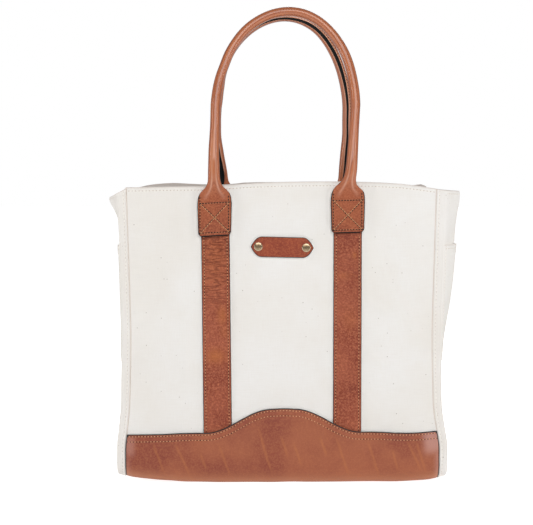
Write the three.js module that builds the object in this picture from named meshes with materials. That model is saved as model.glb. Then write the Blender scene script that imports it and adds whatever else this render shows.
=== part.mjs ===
// A carryall bag: a canvas tote with a leather base, two straps a side and rolled leather handles.
// Millimetres, +Z up. The front faces -Y, and the origin lies under the middle of the base.
import * as THREE from "three";

const { lerp, smoothstep, degToRad } = THREE.MathUtils;

// Driving dimensions: cloth and leather
const CANVAS = 1.5;
const HEM_CANVAS = 3.2;
const BASE_LEATHER = 2.2;
const STRAP_LEATHER = 2;
const TAG_LEATHER = 2;
const GAP = 0.3;
const SEAM_GAP = 0.6;

// Driving dimensions: the body, with heights from the foot of the front as it is seen from eye level
const RIM_HEIGHT = 381;
const LEVEL_HEIGHT = 330;
const HEM_DEPTH = 13;
const HEM_STEP = 1.5;
const PANEL_FOOT = 40;
const EDGE_RADIUS = 22;
const CORNER_LIFT = 8;
const FLAT_REACH = 125;
const PANEL_ROUND = 6;
const FLOOR = -3.5;
const SKIN_FLOOR = FLOOR + BASE_LEATHER + GAP;

// Half width at the seams, half depth at the seams, and how far the panel's middle swells past them
const BODY = [
  { z: 0, half: 198.5, depth: 66, belly: 10 },
  { z: 40, half: 198.5, depth: 66, belly: 10 },
  { z: 66, half: 196, depth: 65.5, belly: 9 },
  { z: 100, half: 193, depth: 65, belly: 8 },
  { z: 180, half: 191.5, depth: 63, belly: 6 },
  { z: 265, half: 193.5, depth: 61, belly: 4 },
  { z: 330, half: 195.5, depth: 59, belly: 3 },
  { z: 382, half: 197, depth: 58, belly: 2 },
];

// Height of a panel's top edge across its width
const RIM = [
  { x: -198, z: 373 },
  { x: -150, z: 377.5 },
  { x: -80, z: 378 },
  { x: 10, z: 381 },
  { x: 60, z: 381.5 },
  { x: 110, z: 379.5 },
  { x: 150, z: 377 },
  { x: 198, z: 371 },
];

// Soft folds of a panel, each a trough along a straight line
const FOLDS = [
  { x0: -124, z0: 338, x1: -148, z1: 270, spread: 13, sink: 2.2 },
  { x0: -138, z0: 250, x1: -176, z1: 160, spread: 12, sink: 3 },
  { x0: 122, z0: 308, x1: 152, z1: 230, spread: 9, sink: 2.6 },
  { x0: 152, z0: 230, x1: 184, z1: 172, spread: 9, sink: 2.6 },
];

// The base's top edge: level at the sides, with one wave in the middle
const WAVE = { side: 62, rise: 31, middle: 5, foot: 96, shoulder: 17 };

// Side panels: how far they stand out past the seam, from the seam (across 1) to mid depth (0)
const SIDE_SECTION = [
  { across: 0, out: 10.5 },
  { across: 0.6, out: 10.6 },
  { across: 0.9, out: 10.9 },
  { across: 0.96, out: 10 },
  { across: 0.985, out: 6.5 },
  { across: 1, out: 0 },
];

// Side panels: how far the middle flares out beyond that
const FLARE = [
  { z: 40, left: 0, right: 0 },
  { z: 100, left: 0.5, right: 2 },
  { z: 168, left: 1, right: 7 },
  { z: 194, left: 1.3, right: 11.5 },
  { z: 227, left: 1.6, right: 16 },
  { z: 303, left: 2, right: 20 },
  { z: 330, left: 3, right: 22 },
  { z: 345, left: 7, right: 23 },
  { z: 362, left: 14, right: 24.5 },
  { z: 381, left: 14, right: 25 },
];
const FLARE_ROUND = 1.6;
const RIM_DIP = { left: 11, right: 2 };
const FOOT_ROLL = [
  { up: 0, out: 0 },
  { up: 1.2, out: 0.5 },
  { up: 4, out: 0.9 },
  { up: 10, out: 1 },
];

// Slip pockets on the side panels
const POCKET = { foot: 150, mouth: 301, reach: 0.9, slack: 2, hem: 12, hemCanvas: 2.6 };

// Straps and handles
const STRAP = { x: 83.3, width: 36, foot: 50, top: 362, ramp: 14, rampFoot: 20, rampTop: 40 };
const HANDLE_SIDES = 12;
const ARCH = { spring: 480, rise: 121, inset: 30, steps: 16 };
const ARCH_SPAN = {
  front: { middle: 4.6, reach: 89, lean: 5.5 },
  back: { middle: 2.9, reach: 86.2, lean: 5.6 },
};

// Where each handle's two legs stand, from the tabs up to the spring of the arch
const LEGS = {
  front: [
    { z: 314, left: -85.5, right: 85.5 },
    { z: 366, left: -85.6, right: 85.6 },
    { z: 397, left: -86.2, right: 88.6 },
    { z: 437, left: -85.8, right: 90.8 },
    { z: 480, left: -84.4, right: 93.6 },
  ],
  back: [
    { z: 314, left: -82.5, right: 85.5 },
    { z: 366, left: -80, right: 86 },
    { z: 397, left: -77.8, right: 87.2 },
    { z: 437, left: -81, right: 88.7 },
    { z: 480, left: -83.3, right: 89.1 },
  ],
};

// A handle's section: half width, half thickness, and how square it is (2 is round)
const HANDLE_SECTION = [
  { z: 314, wide: 15.5, thick: 1.6, square: 8 },
  { z: 316, wide: 19, thick: 1.6, square: 8 },
  { z: 320, wide: 21, thick: 1.6, square: 8 },
  { z: 341, wide: 21, thick: 1.6, square: 8 },
  { z: 362, wide: 21, thick: 1.6, square: 8 },
  { z: 366, wide: 18.4, thick: 1.9, square: 7 },
  { z: 370, wide: 15.2, thick: 2.5, square: 6 },
  { z: 375, wide: 10.9, thick: 3.4, square: 4.5 },
  { z: 380, wide: 9, thick: 4.4, square: 3.5 },
  { z: 386, wide: 8, thick: 5.1, square: 2.8 },
  { z: 397, wide: 7, thick: 5.8, square: 2.3 },
  { z: 420, wide: 6.2, thick: 6.1, square: 2 },
  { z: 450, wide: 6.1, thick: 6.1, square: 2 },
];

// The leather tag and its two rivets
const TAG = { x: 0.8, z: 298.8, length: 80, width: 26, straight: 26, shoulder: 36, tilt: -1.35 };
const RIVET = { spacing: 61, head: 5.5, rise: 2.2, post: 1.9, rim: 0.8, sides: 14, domeSteps: 3 };

// Where the walls' grids have their lines
const GRID = {
  panelColumns: 26,
  plainHeights: [68, 94, 122],
  pocketSteps: 5,
  mouthHeight: 350,
  sideMiddle: [-0.3, 0, 0.3],
  strapSteps: 13,
  baseMiddle: [8, 20, 32, 44],
  besideStrap: 0.4,
  baseEnds: [126, 145, 165, 183, 192],
  baseGirths: [1, 1.25, 1.5, 1.75, 2, 2.35, 2.7, 3],
};

const canvas = new THREE.MeshStandardMaterial({ color: 0xece8e2, roughness: 0.95, metalness: 0 });
const baseLeather = new THREE.MeshStandardMaterial({ color: 0xa15f47, roughness: 0.5, metalness: 0 });
const strapLeather = new THREE.MeshStandardMaterial({ color: 0x9d5843, roughness: 0.55, metalness: 0 });
const handleLeather = new THREE.MeshStandardMaterial({ color: 0xb6785c, roughness: 0.45, metalness: 0 });
const brass = new THREE.MeshStandardMaterial({ color: 0x8d7559, roughness: 0.4, metalness: 0.9 });

// Smooth value of a table's column, with no overshoot between its rows
function along(rows, key, column, at) {
  const last = rows.length - 1;
  if (at <= rows[0][key]) return rows[0][column];
  if (at >= rows[last][key]) return rows[last][column];
  const slope = (i) => (rows[i + 1][column] - rows[i][column]) / (rows[i + 1][key] - rows[i][key]);
  const tangent = (i) => {
    if (i === 0) return slope(0);
    if (i === last) return slope(last - 1);
    const before = slope(i - 1);
    const after = slope(i);
    return before * after <= 0 ? 0 : (2 * before * after) / (before + after);
  };
  const i = rows.findIndex((row) => row[key] > at) - 1;
  const span = rows[i + 1][key] - rows[i][key];
  const t = (at - rows[i][key]) / span;
  const ease = t * t * (3 - 2 * t);
  const bend = t * (1 - t) * (tangent(i) * (1 - t) - tangent(i + 1) * t) * span;
  return lerp(rows[i][column], rows[i + 1][column], ease) + bend;
}

const body = (column, z) => along(BODY, "z", column, z);
const rim = (x) => along(RIM, "x", "z", x);
const floorUnder = (x) => SKIN_FLOOR + CORNER_LIFT * smoothstep(Math.abs(x), FLAT_REACH, body("half", 0));

// Half depth of the body's skin at one place on a panel
function skinDepth(x, z) {
  const share = x / body("half", z);
  return body("depth", z) + body("belly", z) * (1 - Math.abs(share) ** PANEL_ROUND);
}

const frontSkin = (x, z) => new THREE.Vector3(x, -skinDepth(x, z), z);

// Rows are named by their height under a level rim, and stretch near the top to follow the real one
function stretched(height, top) {
  if (height <= LEVEL_HEIGHT) return height;
  return lerp(LEVEL_HEIGHT, top, (height - LEVEL_HEIGHT) / (RIM_HEIGHT - LEVEL_HEIGHT));
}

// A closed wall whose two faces lie at the inner and outer distance from a surface, along its normal
function wall(columns, rows, surface, inner, outer) {
  const step = 1e-3;
  const [firstColumn, lastColumn] = [columns[0], columns.at(-1)];
  const [firstRow, lastRow] = [rows[0], rows.at(-1)];
  const normal = (u, v) => {
    const right = surface(Math.min(u + step, lastColumn), v).sub(surface(Math.max(u - step, firstColumn), v));
    const up = surface(u, Math.min(v + step, lastRow)).sub(surface(u, Math.max(v - step, firstRow)));
    return right.cross(up).normalize();
  };
  const positions = [];
  for (const distance of [outer, inner])
    for (const v of rows)
      for (const u of columns)
        positions.push(...surface(u, v).addScaledVector(normal(u, v), distance(u, v)));

  const wide = columns.length;
  const high = rows.length;
  const outside = (i, j) => j * wide + i;
  const inside = (i, j) => wide * high + outside(i, j);
  const index = [];
  for (let j = 0; j + 1 < high; j++)
    for (let i = 0; i + 1 < wide; i++) {
      index.push(outside(i, j), outside(i + 1, j), outside(i + 1, j + 1));
      index.push(outside(i, j), outside(i + 1, j + 1), outside(i, j + 1));
      index.push(inside(i, j), inside(i + 1, j + 1), inside(i + 1, j));
      index.push(inside(i, j), inside(i, j + 1), inside(i + 1, j + 1));
    }
  const border = [];
  for (let i = 0; i < wide - 1; i++) border.push([i, 0]);
  for (let j = 0; j < high - 1; j++) border.push([wide - 1, j]);
  for (let i = wide - 1; i > 0; i--) border.push([i, high - 1]);
  for (let j = high - 1; j > 0; j--) border.push([0, j]);
  border.forEach((here, k) => {
    const next = border[(k + 1) % border.length];
    index.push(outside(...here), inside(...here), inside(...next));
    index.push(outside(...here), inside(...next), outside(...next));
  });
  return solid(positions, index);
}

function solid(positions, index) {
  const geometry = new THREE.BufferGeometry();
  geometry.setAttribute("position", new THREE.Float32BufferAttribute(positions, 3));
  geometry.setIndex(index);
  geometry.computeVertexNormals();
  return geometry;
}

function mesh(name, geometry, material) {
  const made = new THREE.Mesh(geometry, material);
  made.name = name;
  return made;
}

const evenly = (from, to, count) => Array.from({ length: count + 1 }, (_, i) => lerp(from, to, i / count));
const hemRows = [RIM_HEIGHT - HEM_DEPTH - HEM_STEP, RIM_HEIGHT - HEM_DEPTH, RIM_HEIGHT];
const pocketRows = [...evenly(POCKET.foot, POCKET.mouth - POCKET.hem, GRID.pocketSteps), POCKET.mouth];
const bodyRows = [...GRID.plainHeights, ...pocketRows, LEVEL_HEIGHT, GRID.mouthHeight, ...hemRows];
const mirrored = (values) => [...values.map((value) => -value).reverse(), ...values];
const hemmed = (height) => -(height >= RIM_HEIGHT - HEM_DEPTH ? HEM_CANVAS : CANVAS);

// Depth of the folds at one place on a panel
function foldSink(x, z) {
  return FOLDS.reduce((sum, fold) => {
    const run = new THREE.Vector2(fold.x1 - fold.x0, fold.z1 - fold.z0);
    const from = new THREE.Vector2(x - fold.x0, z - fold.z0);
    const share = from.dot(run) / run.lengthSq();
    const aside = from.cross(run) / run.length();
    const ends = smoothstep(share, -0.2, 0.2) * (1 - smoothstep(share, 0.8, 1.2));
    return sum + fold.sink * ends * Math.exp(-((aside / fold.spread) ** 2));
  }, 0);
}

// A canvas panel, from behind the leather base up to its hemmed rim
function canvasPanel() {
  const columns = evenly(-1, 1, GRID.panelColumns);
  const rows = [PANEL_FOOT, ...bodyRows];
  const surface = (share, height) => {
    const z = stretched(height, rim(share * body("half", RIM_HEIGHT)));
    const x = share * body("half", z);
    return new THREE.Vector3(x, foldSink(x, z) - skinDepth(x, z), z);
  };
  return wall(columns, rows, surface, (share, height) => hemmed(height), () => 0);
}

// A side panel as it stands on the right: a flange beside each seam, a rounded foot and a flared mouth
const sideFloor = floorUnder(body("half", 0)) - GAP - BASE_LEATHER;
const flangeColumns = SIDE_SECTION.slice(1).map((row) => row.across);
const sideColumns = [...mirrored(flangeColumns), ...GRID.sideMiddle].sort((a, b) => a - b);

function sideSurface(flareSide) {
  return (across, height) => {
    const corner = lerp(rim(RIM.at(-1).x), rim(RIM[0].x), (across + 1) / 2);
    const swell = 1 - Math.abs(across) ** FLARE_ROUND;
    const z = stretched(height, corner - RIM_DIP[flareSide] * swell);
    const up = z - sideFloor;
    const arc = Math.max(EDGE_RADIUS - up, 0);
    const depth = body("depth", z) - EDGE_RADIUS + Math.sqrt(EDGE_RADIUS ** 2 - arc ** 2);
    const stand = along(SIDE_SECTION, "across", "out", Math.abs(across)) * along(FOOT_ROLL, "up", "out", up);
    const flare = along(FLARE, "z", flareSide, z) * swell;
    return new THREE.Vector3(body("half", z) + SEAM_GAP + stand + flare, across * depth, z);
  };
}

function sidePanel(flareSide) {
  const footRows = [...FOOT_ROLL.map((row) => sideFloor + row.up), sideFloor + EDGE_RADIUS];
  const rows = [...footRows, PANEL_FOOT, ...bodyRows];
  return wall(sideColumns, rows, sideSurface(flareSide), (across, height) => hemmed(height), () => 0);
}

// A slip pocket: a patch sewn to the side panel at its edges and foot, a little slack at its hemmed mouth
function slipPocket(flareSide) {
  const columns = sideColumns.filter((across) => Math.abs(across) <= POCKET.reach);
  const off = (across, z) => {
    const open = smoothstep(z, POCKET.foot, POCKET.mouth);
    return GAP + POCKET.slack * open * (1 - (across / POCKET.reach) ** 2);
  };
  const cloth = (z) => (z >= POCKET.mouth - POCKET.hem ? POCKET.hemCanvas : CANVAS);
  return wall(columns, pocketRows, sideSurface(flareSide), off, (across, z) => off(across, z) + cloth(z));
}

function waveHeight(x) {
  const from = Math.abs(x - WAVE.middle);
  return WAVE.side + WAVE.rise * (1 - smoothstep(from, WAVE.shoulder, WAVE.foot));
}

// How far the base stands off the skin to pass over the feet of the straps
function strapBump(x, z) {
  const aside = Math.abs(Math.abs(x) - STRAP.x) - STRAP.width / 2;
  const across = 1 - smoothstep(aside, GRID.besideStrap, STRAP.ramp);
  return (STRAP_LEATHER + GAP) * across * smoothstep(z, STRAP.rampFoot, STRAP.rampTop);
}

// The leather base: one piece that runs from the back's wave, under the floor, to the front's wave.
// The girth runs over the flat floor from 0 to 1, the bottom edge to 2 and the upright to 3.
function leatherBase() {
  const half = body("half", 0);
  const overStrap = [STRAP.width / 2 + GRID.besideStrap, STRAP.width / 2 + STRAP.ramp];
  const strapColumns = [...mirrored(overStrap), 0].sort((a, b) => a - b).map((aside) => STRAP.x + aside);
  const edge = half - 1.5 * SEAM_GAP;
  const columns = mirrored([...GRID.baseMiddle, ...strapColumns, ...GRID.baseEnds, edge]);
  const rows = [...mirrored(GRID.baseGirths), 0].sort((a, b) => a - b);
  const surface = (column, girth) => {
    const side = girth < 0 ? 1 : -1;
    const travel = Math.abs(girth);
    const low = floorUnder(column);
    const z = lerp(low + EDGE_RADIUS, waveHeight(-side * column), Math.max(travel - 2, 0));
    const drawnIn = (half - body("half", z)) * smoothstep(Math.abs(column), FLAT_REACH, half);
    const x = column - Math.sign(column) * drawnIn;
    const depth = skinDepth(x, z);
    if (travel <= 1) return new THREE.Vector3(x, side * travel * (depth - EDGE_RADIUS), low);
    const turn = (Math.min(travel - 1, 1) * Math.PI) / 2;
    const y = depth - EDGE_RADIUS * (1 - Math.sin(turn));
    return new THREE.Vector3(x, side * y, travel < 2 ? low + EDGE_RADIUS * (1 - Math.cos(turn)) : z);
  };
  const off = (column, girth) => GAP + strapBump(column, surface(column, girth).z);
  return wall(columns, rows, surface, off, (column, girth) => off(column, girth) + BASE_LEATHER);
}

// A strap, from under the base's edge to under the handle's tab
function strap(x) {
  const columns = [x - STRAP.width / 2, x, x + STRAP.width / 2];
  const rows = evenly(STRAP.foot, STRAP.top, GRID.strapSteps);
  return wall(columns, rows, frontSkin, () => GAP, () => GAP + STRAP_LEATHER);
}

// The middle line of a handle: up one leg, over the arch and down the other leg.
// The back's is laid out turned half round, because its whole face is turned back into place.
function handleStations(name) {
  const turned = name === "back" ? -1 : 1;
  const span = ARCH_SPAN[name];
  const apex = ARCH.spring + ARCH.rise;
  const station = (x, z) => {
    const size = {
      wide: along(HANDLE_SECTION, "z", "wide", z),
      thick: along(HANDLE_SECTION, "z", "thick", z),
      square: along(HANDLE_SECTION, "z", "square", z),
    };
    const clear = 2 * GAP + STRAP_LEATHER + size.thick;
    const seat = -skinDepth(x, Math.min(z, RIM_HEIGHT)) - clear;
    const inward = Math.max(z - RIM_HEIGHT, 0) / (apex - RIM_HEIGHT);
    const y = lerp(seat, -ARCH.inset, smoothstep(inward, 0, 1) * 0.5 + inward * 0.5);
    return { at: new THREE.Vector3(turned * x, y, z), ...size };
  };
  const heights = HANDLE_SECTION.map((row) => row.z);
  const leg = (side) => heights.map((z) => station(along(LEGS[name], "z", side, z), z));
  const arch = evenly(Math.PI, 0, ARCH.steps).map((turn) => {
    const up = Math.sin(turn);
    const x = span.middle + span.lean * up * up + span.reach * Math.cos(turn);
    return station(x, ARCH.spring + ARCH.rise * up);
  });
  const stations = [...leg("left"), ...arch, ...leg("right").reverse()];
  return turned > 0 ? stations : stations.reverse();
}

function handle(name) {
  const stations = handleStations(name);
  const positions = [];
  stations.forEach((station, k) => {
    const before = stations[Math.max(k - 1, 0)].at;
    const after = stations[Math.min(k + 1, stations.length - 1)].at;
    const run = after.clone().sub(before).normalize();
    const across = run.clone().cross(new THREE.Vector3(0, -1, 0)).normalize();
    const through = run.clone().cross(across);
    for (let i = 0; i < HANDLE_SIDES; i++) {
      const turn = (2 * Math.PI * (i + 0.5)) / HANDLE_SIDES;
      const squared = (value) => Math.sign(value) * Math.abs(value) ** (2 / station.square);
      const point = station.at.clone();
      point.addScaledVector(across, station.wide * squared(Math.cos(turn)));
      point.addScaledVector(through, station.thick * squared(Math.sin(turn)));
      positions.push(...point);
    }
  });
  const index = [];
  const vertex = (k, i) => k * HANDLE_SIDES + (i % HANDLE_SIDES);
  const last = stations.length - 1;
  for (let i = 0; i < HANDLE_SIDES; i++)
    for (let k = 0; k < last; k++) {
      index.push(vertex(k, i), vertex(k, i + 1), vertex(k + 1, i + 1));
      index.push(vertex(k, i), vertex(k + 1, i + 1), vertex(k + 1, i));
    }
  for (let i = 1; i + 1 < HANDLE_SIDES; i++) {
    index.push(vertex(0, 0), vertex(0, i + 1), vertex(0, i));
    index.push(vertex(last, 0), vertex(last, i), vertex(last, i + 1));
  }
  return solid(positions, index);
}

// The tag lies in its own plane: x along it, y up, z out of the canvas
function tag() {
  const tip = TAG.length / 2;
  const edge = TAG.width / 2;
  const outline = new THREE.Shape();
  outline.moveTo(-TAG.straight, -edge);
  outline.lineTo(TAG.straight, -edge);
  outline.quadraticCurveTo(TAG.shoulder, -edge, tip, 0);
  outline.quadraticCurveTo(TAG.shoulder, edge, TAG.straight, edge);
  outline.lineTo(-TAG.straight, edge);
  outline.quadraticCurveTo(-TAG.shoulder, edge, -tip, 0);
  outline.quadraticCurveTo(-TAG.shoulder, -edge, -TAG.straight, -edge);
  for (const side of [-1, 1]) {
    const hole = new THREE.Path();
    hole.absarc((side * RIVET.spacing) / 2, 0, RIVET.post + GAP, 0, 2 * Math.PI, true);
    outline.holes.push(hole);
  }
  return new THREE.ExtrudeGeometry(outline, { depth: TAG_LEATHER, bevelEnabled: false, curveSegments: 7 });
}

// A domed rivet on its post, turned about y and seated on the tag
function rivet() {
  const seat = TAG_LEATHER + GAP;
  const point = (x, y) => new THREE.Vector2(x, y);
  const dome = evenly(0, Math.PI / 2, RIVET.domeSteps).map((turn) => {
    const rise = RIVET.rim + (RIVET.rise - RIVET.rim) * Math.sin(turn);
    return point(RIVET.head * Math.cos(turn), seat + rise);
  });
  dome[RIVET.domeSteps].x = 0;
  const shank = [point(0, 0), point(RIVET.post, 0), point(RIVET.post, seat), point(RIVET.head, seat)];
  return new THREE.LatheGeometry([...shank, ...dome], RIVET.sides);
}

function taggedGroup() {
  const group = new THREE.Group();
  const slope = skinDepth(0, TAG.z - TAG.width / 2) - skinDepth(0, TAG.z + TAG.width / 2);
  group.position.copy(frontSkin(TAG.x, TAG.z));
  group.rotation.x = Math.PI / 2 - Math.atan2(slope, TAG.width);
  const turned = new THREE.Group();
  turned.position.z = GAP;
  turned.rotation.z = degToRad(TAG.tilt);
  turned.add(mesh("tag", tag(), strapLeather));
  for (const [name, side] of [["rivet_left", -1], ["rivet_right", 1]]) {
    const placed = mesh(name, rivet(), brass);
    placed.position.x = (side * RIVET.spacing) / 2;
    placed.rotation.x = Math.PI / 2;
    turned.add(placed);
  }
  group.add(turned);
  return group;
}

// One face of the bag: its canvas, straps and handle. The back is a front turned half round.
function face(name, turn) {
  const group = new THREE.Group();
  group.rotation.z = turn;
  const sides = name === "front" ? ["left", "right"] : ["right", "left"];
  group.add(mesh(`canvas_${name}`, canvasPanel(), canvas));
  group.add(mesh(`strap_${name}_${sides[0]}`, strap(-STRAP.x), strapLeather));
  group.add(mesh(`strap_${name}_${sides[1]}`, strap(STRAP.x), strapLeather));
  group.add(mesh(`handle_${name}`, handle(name), handleLeather));
  return group;
}

function side(name, turn) {
  const group = new THREE.Group();
  group.rotation.z = turn;
  group.add(mesh(`gusset_${name}`, sidePanel(name), canvas));
  group.add(mesh(`pocket_${name}`, slipPocket(name), canvas));
  return group;
}

// The two mouths flare by different amounts, so the bag stands to one side of its seams' middle
const bag = new THREE.Group();
bag.position.set((FLARE.at(-1).left - FLARE.at(-1).right) / 2, 0, -FLOOR);
bag.add(mesh("leather_base", leatherBase(), baseLeather));
bag.add(face("front", 0), face("back", Math.PI));
bag.add(side("right", 0), side("left", Math.PI));
bag.add(taggedGroup());

const carryall = new THREE.Group();
carryall.name = "carryall_bag";
carryall.add(bag);

export default carryall;
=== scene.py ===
import math

import bpy
import numpy as np
from mathutils import Matrix, Vector


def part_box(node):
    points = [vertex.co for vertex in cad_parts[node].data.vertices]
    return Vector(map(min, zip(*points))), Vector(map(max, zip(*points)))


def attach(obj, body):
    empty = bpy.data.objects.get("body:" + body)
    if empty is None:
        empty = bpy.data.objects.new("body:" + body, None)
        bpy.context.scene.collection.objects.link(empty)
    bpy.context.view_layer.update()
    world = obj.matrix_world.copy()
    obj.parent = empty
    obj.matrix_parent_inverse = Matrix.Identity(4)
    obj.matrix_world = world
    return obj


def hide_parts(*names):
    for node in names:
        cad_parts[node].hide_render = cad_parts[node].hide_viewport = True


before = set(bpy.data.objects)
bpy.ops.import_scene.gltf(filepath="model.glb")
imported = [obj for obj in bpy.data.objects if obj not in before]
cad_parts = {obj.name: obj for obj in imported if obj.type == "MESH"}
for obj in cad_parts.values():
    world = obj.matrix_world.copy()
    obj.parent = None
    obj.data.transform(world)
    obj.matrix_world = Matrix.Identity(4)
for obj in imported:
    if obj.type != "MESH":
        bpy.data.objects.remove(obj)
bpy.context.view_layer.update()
bpy.ops.object.select_all(action="DESELECT")


# The studio: a pale floor that runs out into white, a large soft box above the front and one behind, a
# narrow and a broad one at each side, and a long lens a little above the height of the bag's middle.
MM = 0.001
IMAGE_WIDE = 533
FOCAL_PIXELS = 1732
SENSOR_WIDE = 36.0
EYE = {"azimuth": -1.5, "elevation": 2.5, "distance": 2.2, "target": (-0.0252, -0.068, 0.2825)}
WHITE = (1, 1, 1, 1)
FLOOR_SIZE = 60.0
FLOOR_DROP = 0.0002
FLOOR_COLOUR = (0.7, 0.7, 0.7, 1)
FLOOR_GLOW = {"seen": 0.92, "cast": 0.45}
SKY_LIGHT = 0.25
SOFT_BOXES = [
    {"name": "box_above", "place": (0.2, -2.6, 1.9), "size": (2.6, 1.6), "power": 42, "mirrored": True},
    {"name": "strip_left", "place": (-2.3, -0.95, 0.6), "size": (0.2, 2.0), "power": 9, "mirrored": True},
    {"name": "strip_right", "place": (2.0, -1.55, 0.6), "size": (0.2, 2.0), "power": 9, "mirrored": True},
    {"name": "side_left", "place": (-2.6, 0.0, 0.7), "size": (1.6, 1.6), "power": 15, "mirrored": False},
    {"name": "side_right", "place": (2.6, 0.0, 0.7), "size": (1.6, 1.6), "power": 13, "mirrored": False},
    {"name": "box_behind", "place": (0.3, 2.2, 1.8), "size": (2.0, 1.2), "power": 18, "mirrored": True},
]
LIT_POINT = Vector((0, 0, 0.26))


def add(tree, kind, inputs=None, **settings):
    """A new shader node. An input is a plain value or the output of another node."""
    made = tree.nodes.new("ShaderNode" + kind)
    for setting, value in settings.items():
        setattr(made, setting, value)
    for socket, value in (inputs or {}).items():
        if isinstance(value, bpy.types.NodeSocket):
            tree.links.new(value, made.inputs[socket])
        else:
            made.inputs[socket].default_value = value
    return made


scene = bpy.context.scene
scene.view_settings.view_transform = "Standard"
scene.view_settings.look = "None"

eye_turn = math.radians(EYE["azimuth"])
eye_lift = math.radians(EYE["elevation"])
eye_back = Vector((math.sin(eye_turn) * math.cos(eye_lift), -math.cos(eye_turn) * math.cos(eye_lift),
                   math.sin(eye_lift)))
camera = bpy.data.objects.new("camera", bpy.data.cameras.new("camera"))
camera.data.sensor_width = SENSOR_WIDE
camera.data.lens = FOCAL_PIXELS / IMAGE_WIDE * SENSOR_WIDE
camera.location = Vector(EYE["target"]) + EYE["distance"] * eye_back
camera.rotation_euler = (-eye_back).to_track_quat("-Z", "Y").to_euler()
scene.collection.objects.link(camera)
scene.camera = camera

for box in SOFT_BOXES:
    light = bpy.data.lights.new(box["name"], "AREA")
    light.shape = "RECTANGLE"
    light.size, light.size_y = box["size"]
    light.energy = box["power"]
    lamp = bpy.data.objects.new(box["name"], light)
    lamp.location = box["place"]
    lamp.visible_glossy = box["mirrored"]
    lamp.rotation_euler = (LIT_POINT - lamp.location).to_track_quat("-Z", "Y").to_euler()
    scene.collection.objects.link(lamp)

world = bpy.data.worlds.new("studio")
world.use_nodes = True
world.node_tree.nodes.clear()
seen_directly = add(world.node_tree, "LightPath").outputs["Is Camera Ray"]
sky = add(world.node_tree, "Background", {"Color": WHITE, "Strength": SKY_LIGHT})
white = add(world.node_tree, "Background", {"Color": WHITE, "Strength": 1.0})
backdrop = add(world.node_tree, "MixShader", {0: seen_directly, 1: sky.outputs[0], 2: white.outputs[0]})
add(world.node_tree, "OutputWorld", {"Surface": backdrop.outputs[0]})
scene.world = world

bpy.ops.mesh.primitive_plane_add(size=FLOOR_SIZE, location=(0, 0, -FLOOR_DROP))
floor = bpy.context.object
floor.name = "floor"
floor_paint = bpy.data.materials.new("floor_paint")
floor_paint.use_nodes = True
floor_shader = floor_paint.node_tree.nodes["Principled BSDF"]
floor_shader.inputs["Base Color"].default_value = FLOOR_COLOUR
floor_shader.inputs["Roughness"].default_value = 0.9
floor_shader.inputs["Emission Color"].default_value = WHITE
floor_seen = add(floor_paint.node_tree, "LightPath").outputs["Is Camera Ray"]
floor_glow = add(floor_paint.node_tree, "Mix", {0: floor_seen, 2: FLOOR_GLOW["cast"], 3: FLOOR_GLOW["seen"]})
floor_paint.node_tree.links.new(floor_glow.outputs[0], floor_shader.inputs["Emission Strength"])
floor.data.materials.append(floor_paint)


# The canvas panels: front and back, one piece each of undyed heavy cotton canvas from seam to seam. Each
# runs down behind the leather base, and its rim is turned inwards and hemmed with a row of thread.
# Sizes are in millimetres, with heights from the foot of the front and widths from between the seams.
FOOT_HEIGHT = 3.5
SEAM_MIDDLE = (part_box("strap_front_left")[0].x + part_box("strap_front_right")[1].x) / 2 / MM
CANVAS_THICK = 1.5
HEM_THICK = 3.2
HEM_DEEP = 13
HEM_EASE = 0.8
HEM_START = 360
HEM_STEP = 1.5
RIM_HEIGHT = 381
LEVEL_HEIGHT = 330
PANEL_FOOT = 40
PANEL_ROUND = 6
PANEL_STEP = 3
PANEL_BULGE = 0.5
RIGHT_FOOT = {"spread": 2.2, "heights": (40, 95), "reach": (100, 198)}
SWELL = {"deep": 0.9, "length": 120, "seed": 3, "off_seam": 40, "off_rim": 30, "held": 0.1}
SEAM_PUCKER = {"deep": 0.45, "length": 15, "seed": 5, "wide": 9}
HEM_PUCKER = {"deep": 0.28, "length": 12, "seed": 7, "wide": 7}
HEM_ROW_DOWN = 5
HEM_REACH = 0.985
HEM_POINTS = 260
HEM_SEWING = {"pitch": 4.4, "thread": 0.8, "cover": 0.5, "hole": 1.2, "slot": 1.7}


def table(names, *rows):
    """A short table, as one array for each named column. The first column is the one it is read by."""
    return dict(zip(names.split(), np.array(rows, float).T))


BODY = table(
    "height half depth belly",
    (0, 199.3, 66, 10),
    (40, 199.3, 66, 10),
    (66, 196.8, 65.5, 9),
    (100, 193.8, 65, 8),
    (180, 192.3, 63, 6),
    (265, 194.3, 61, 4),
    (330, 196.4, 59, 3),
    (382, 198, 58, 2),
)
RIM = {
    "front": table(
        "x height",
        (-198, 374),
        (-175, 374.2),
        (-150, 374.9),
        (-110, 375.3),
        (-90, 375.5),
        (-63, 377.6),
        (-30, 379.6),
        (10, 381),
        (60, 381.5),
        (110, 380.7),
        (150, 378.6),
        (198, 372.3),
    ),
    "back": table(
        "x height",
        (-198, 375.5),
        (-191, 378.2),
        (-180, 377),
        (-150, 378.7),
        (-80, 379),
        (10, 381),
        (45, 380.4),
        (60, 378.8),
        (80, 377.6),
        (105, 378.2),
        (120, 378.8),
        (140, 379.8),
        (168, 378),
        (185, 374.5),
        (198, 371),
    ),
}
FOLDS = table(
    "x0 z0 x1 z1 spread sink",
    (-124, 338, -148, 270, 13, 2.2),
    (-138, 250, -176, 160, 12, 3),
    (122, 308, 152, 230, 9, 2.6),
    (152, 230, 184, 172, 9, 2.6),
    (109, 241, 131, 216, 5, 1.2),
    (106, 172, 139, 147, 5, 1.2),
    (106, 120, 128, 93, 5, 1.0),
    (-110, 120, -140, 84, 8, 0.9),
    (-20, 250, 24, 150, 16, 0.8),
)
HELD_FLAT = table(
    "x z half_wide half_high",
    (-83.3, 205, 17.7, 160),
    (83.3, 205, 17.7, 160),
    (0.4, 298, 38, 12),
)
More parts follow.
